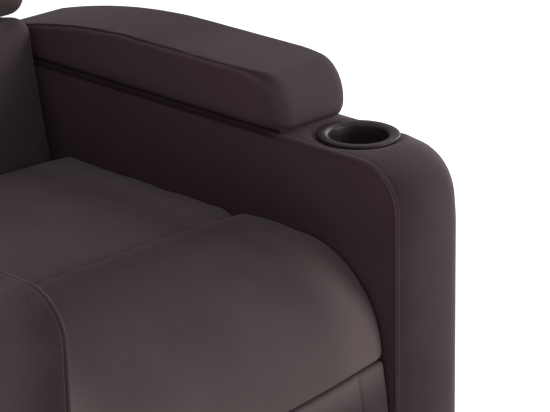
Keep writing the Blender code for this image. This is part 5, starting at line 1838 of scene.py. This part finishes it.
class MakeWoodwork(bpy.types.Operator):
    """Finishes the boards and rails of plywood and softwood"""

    bl_idname = "chair.woodwork"
    bl_label = "Woodwork"

    def execute(self, context):
        for node, (body, material) in WOOD.items():
            finish_node(node, "_wood", body, material, WOOD_EDGE)
        return {"FINISHED"}


class MakeFeetAndLever(bpy.types.Operator):
    """Finishes the glides under the arms and the release lever with its collar"""

    bl_idname = "chair.feet_and_lever"
    bl_label = "Feet and lever"

    def execute(self, context):
        for label in SIDES:
            for end in ("front", "rear"):
                foot = f"{label}_{end}_foot"
                finish_node(foot, "_glide", "base", "moulded_polypropylene", 0)
        finish_node("release_lever", "_grip", "release_handle", "moulded_abs", 0)
        finish_node("lever_collar", "_ring", "base", "moulded_abs", COLLAR_EDGE)
        return {"FINISHED"}


def layer_faces(number):
    """Outer and inner x of a steel layer, counted inwards from the arm."""
    outer = PLATE_OUTER - number * LAYER_PITCH
    return outer, outer - PLATE


class MakeRivets(bpy.types.Operator):
    """Makes the rivet heads on the mechanism's pivots and the screws of the base plates"""

    bl_idname = "chair.rivets"
    bl_label = "Rivets and screws"

    def execute(self, context):
        hardware = context.scene.chair_hardware
        for body, heads in RIVETS.items():
            places = []
            for side in SIDES.values():
                for (y, z), number, way in heads:
                    x = layer_faces(number)[0 if way > 0 else 1]
                    places.append(((side * x, y, z), (side * way, 0, 0)))
            rivet(body + "_rivets", places, body, hardware.rivet_radius, hardware.rivet_height)
        inner = layer_faces(0)[1]
        sides = SIDES.values()
        screws = [((side * inner, y, SCREW_LEVEL), (-side, 0, 0)) for side in sides for y in SCREW_PLACES]
        rivet("base_plate_screws", screws, "base", SCREW_RADIUS, SCREW_HEIGHT)
        return {"FINISHED"}


class MakeSprings(bpy.types.Operator):
    """Makes the zigzag springs that carry the seat cushion"""

    bl_idname = "chair.springs"
    bl_label = "Seat springs"

    def execute(self, context):
        low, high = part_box("seat_spring_1")
        length = high[1] - low[1]
        values = {
            "Length": length,
            "Wave": context.scene.chair_hardware.spring_wave,
            "Pitch": length / SPRING_WAVES,
            "Wire": (high[2] - low[2]) / 2,
            "Material": finish("oiled_spring_wire"),
        }
        start = add_object("seat_springs_wire", bpy.data.meshes.new("wire"))
        thing = run_tree(start, tree_named("Zigzag springs", spring_tree), values)
        thing.data.transform(Matrix.Translation((0, low[1] - ORIGIN.y, (low[2] + high[2]) / 2)))
        nodes = [f"seat_spring_{number + 1}" for number in range(SPRING_ROWS)]
        settle(thing, "seat", replaced=nodes)
        return {"FINISHED"}


# Stage


def paper(name):
    """Pale paper sweep that the camera and reflections see as near white, with the chair's shadow on it."""
    settings = bpy.context.scene.chair_stage
    material, tree = new_material(name)
    shader = tree.nodes["Principled BSDF"]
    shaded(material, Base_Color=(*settings.floor, 1), Roughness=0.9)
    rays = add(tree, "ShaderNodeLightPath").outputs
    seen = add(tree, MATH, {0: rays["Is Camera Ray"], 1: rays["Is Glossy Ray"]}, operation="MAXIMUM")
    seen = add(tree, MATH, {0: seen, 1: rays["Is Transmission Ray"]}, operation="MAXIMUM")
    glow = add(tree, MATH, {0: seen, 1: settings.floor_glow}, operation="MULTIPLY")
    light = add(tree, "ShaderNodeEmission", {"Color": (1, 1, 1, 1), "Strength": glow})
    lit = add(tree, "ShaderNodeAddShader", {0: shader, 1: light})
    clear = add(tree, "ShaderNodeBsdfTransparent")
    below = add(tree, "ShaderNodeNewGeometry").outputs["Backfacing"]
    from_above = add(tree, "ShaderNodeMixShader", {0: below, 1: lit, 2: clear})
    plug(tree, tree.nodes["Material Output"], {"Surface": from_above})
    return material


def add_floor():
    """A wide flat sheet under the chair."""
    corners = [(x * FLOOR_REACH, y * FLOOR_REACH, 0) for x, y in ((-1, -1), (1, -1), (1, 1), (-1, 1))]
    floor = add_object("pale_floor", new_mesh("pale_floor", corners, [(0, 1, 2, 3)]))
    floor.data.materials.append(paper("pale_paper"))


def add_sky(scene, strength):
    """Even light from all round, white where the camera sees it."""
    world = bpy.data.worlds.new("pale_studio")
    world.use_nodes = True
    scene.world = world
    tree = world.node_tree
    rays = add(tree, "ShaderNodeLightPath").outputs
    level = add(tree, RANGE, {"Value": rays["Is Camera Ray"], "To Min": strength, "To Max": 1.0})
    plug(tree, tree.nodes["Background"], {"Color": (1, 1, 1, 1), "Strength": level})


def add_lamp(name, place, size, power):
    """A soft lamp that faces the chair."""
    data = bpy.data.lights.new(name, "AREA")
    data.shape = "RECTANGLE"
    data.size, data.size_y = size
    data.energy = power
    lamp = bpy.data.objects.new(name, data)
    bpy.context.scene.collection.objects.link(lamp)
    lamp.location = ORIGIN + Vector(place)
    lamp.rotation_euler = (Vector(LAMP_TARGET) - Vector(place)).to_track_quat("-Z", "Y").to_euler()


def add_camera(scene):
    """The photograph's camera; the photograph is 550 pixels wide and 412 high."""
    data = bpy.data.cameras.new("photo_camera")
    data.lens = CAMERA_LENS
    data.sensor_width = CAMERA_SENSOR
    data.clip_end = CAMERA_REACH
    camera = bpy.data.objects.new("photo_camera", data)
    scene.collection.objects.link(camera)
    level = math.cos(CAMERA_PITCH)
    back = Vector((math.sin(CAMERA_YAW) * level, -math.cos(CAMERA_YAW) * level, math.sin(CAMERA_PITCH)))
    right = Vector((math.cos(CAMERA_YAW), math.sin(CAMERA_YAW), 0))
    turn = Matrix((right, back.cross(right), back)).transposed()
    camera.matrix_world = Matrix.Translation(ORIGIN + Vector(CAMERA_PLACE)) @ turn.to_4x4()
    scene.camera = camera


class MakeStage(bpy.types.Operator):
    """Makes the pale floor, the soft studio light and the photograph's camera"""

    bl_idname = "chair.stage"
    bl_label = "Stage"

    def execute(self, context):
        scene = context.scene
        settings = scene.chair_stage
        add_floor()
        add_sky(scene, settings.sky)
        for name, (place, size) in LAMPS.items():
            add_lamp(name + "_softbox", place, size, getattr(settings, name))
        add_camera(scene)
        scene.view_settings.view_transform = "Standard"
        return {"FINISHED"}


# Settings, panel and registration


def colour_setting(name, description, default):
    """A colour setting."""
    return bpy.props.FloatVectorProperty(
        name=name, description=description, subtype="COLOR", size=3, default=default
    )


def length_setting(name, description, default, least):
    """A length setting."""
    return bpy.props.FloatProperty(
        name=name, description=description, unit="LENGTH", default=default, min=least
    )


def level_setting(name, description, default, unit="NONE"):
    """A setting of how strong a light is."""
    return bpy.props.FloatProperty(name=name, description=description, unit=unit, default=default)


class FabricSettings(bpy.types.PropertyGroup):
    """Colours and stitches of the upholstery."""

    # Painted shade and painted light: the dark and the pale end of the cloth's colour, picked between by each
    # corner's stored level
    shade: colour_setting("Shaded nap", "Colour of the nap brushed towards the eye", linear("#27191c"))
    lit: colour_setting("Lit nap", "Colour of the nap brushed away from the eye", linear("#584c4d"))
    sheen: colour_setting("Sheen", "Tint of the nap at grazing angles", linear("#ad9a9c"))
    thread: colour_setting("Thread", "Colour of the topstitching", linear("#463b3c"))
    stitch_spacing: length_setting("Stitch spacing", "From one stitch to the next", 4 * MM, 1 * MM)
    stitch_length: length_setting("Stitch length", "Seen length of a stitch", 3 * MM, 0.5 * MM)
    thread_radius: length_setting("Thread radius", "Half the thread's thickness", 0.45 * MM, 0.05 * MM)


class HardwareSettings(bpy.types.PropertyGroup):
    """Sizes of the rivets and springs."""

    rivet_radius: length_setting("Rivet radius", "Radius of a rivet's head", 6.5 * MM, 1 * MM)
    rivet_height: length_setting("Rivet height", "Height of a rivet's head", 1.8 * MM, 0.2 * MM)
    spring_wave: length_setting("Spring wave", "Sideways reach of a zigzag spring", 22 * MM, 1 * MM)


class StageSettings(bpy.types.PropertyGroup):
    """Colours and light of the stage."""

    floor: colour_setting("Floor", "Colour of the floor", (0.80, 0.80, 0.79))
    floor_glow: level_setting("Floor glow", "Added brightness of the floor as seen", 0.64)
    sky: level_setting("Sky", "Strength of the even light from all round", 0.46)
    key: level_setting("Key", "Power of the front softbox", 85, "POWER")
    side: level_setting("Side", "Power of the side softbox", 35, "POWER")
    top: level_setting("Top", "Power of the top softbox", 8, "POWER")


OPERATORS = [
    MakeStage,
    MakeArmCovers,
    MakeArmPads,
    MakeCupHolders,
    MakeSeat,
    MakeFootrest,
    MakeBackCushions,
    MakeBackCover,
    MakeSteelwork,
    MakeWoodwork,
    MakeFeetAndLever,
    MakeRivets,
    MakeSprings,
]

SETTINGS = {
    "chair_fabric": FabricSettings,
    "chair_hardware": HardwareSettings,
    "chair_stage": StageSettings,
}


class ChairPanel(bpy.types.Panel):
    """Lists the chair's pieces and their settings."""

    bl_idname = "VIEW3D_PT_chair"
    bl_label = "Recliner chair"
    bl_space_type = "VIEW_3D"
    bl_region_type = "UI"
    bl_category = "Chair"

    def draw(self, context):
        layout = self.layout
        for operator in OPERATORS:
            layout.operator(operator.bl_idname)
        for group in SETTINGS:
            settings = getattr(context.scene, group)
            box = layout.box()
            for name in settings.__annotations__:
                box.prop(settings, name)


CLASSES = [*SETTINGS.values(), *OPERATORS, ChairPanel]


def register():
    """Registers the settings, the operators and the panel."""
    for item in CLASSES:
        bpy.utils.register_class(item)
    for name, group in SETTINGS.items():
        setattr(bpy.types.Scene, name, bpy.props.PointerProperty(type=group))


def unregister():
    """Takes the settings, the operators and the panel away again."""
    for name in SETTINGS:
        delattr(bpy.types.Scene, name)
    for item in reversed(CLASSES):
        bpy.utils.unregister_class(item)


def main():
    """Makes the stage and every piece."""
    register()
    bpy.ops.chair.stage()
    bpy.ops.chair.arm_covers()
    bpy.ops.chair.arm_pads()
    bpy.ops.chair.cup_holders()
    bpy.ops.chair.seat()
    bpy.ops.chair.footrest()
    bpy.ops.chair.back_cushions()
    bpy.ops.chair.back_cover()
    bpy.ops.chair.steelwork()
    bpy.ops.chair.woodwork()
    bpy.ops.chair.feet_and_lever()
    bpy.ops.chair.rivets()
    bpy.ops.chair.springs()


if __name__ == "__main__":
    main()
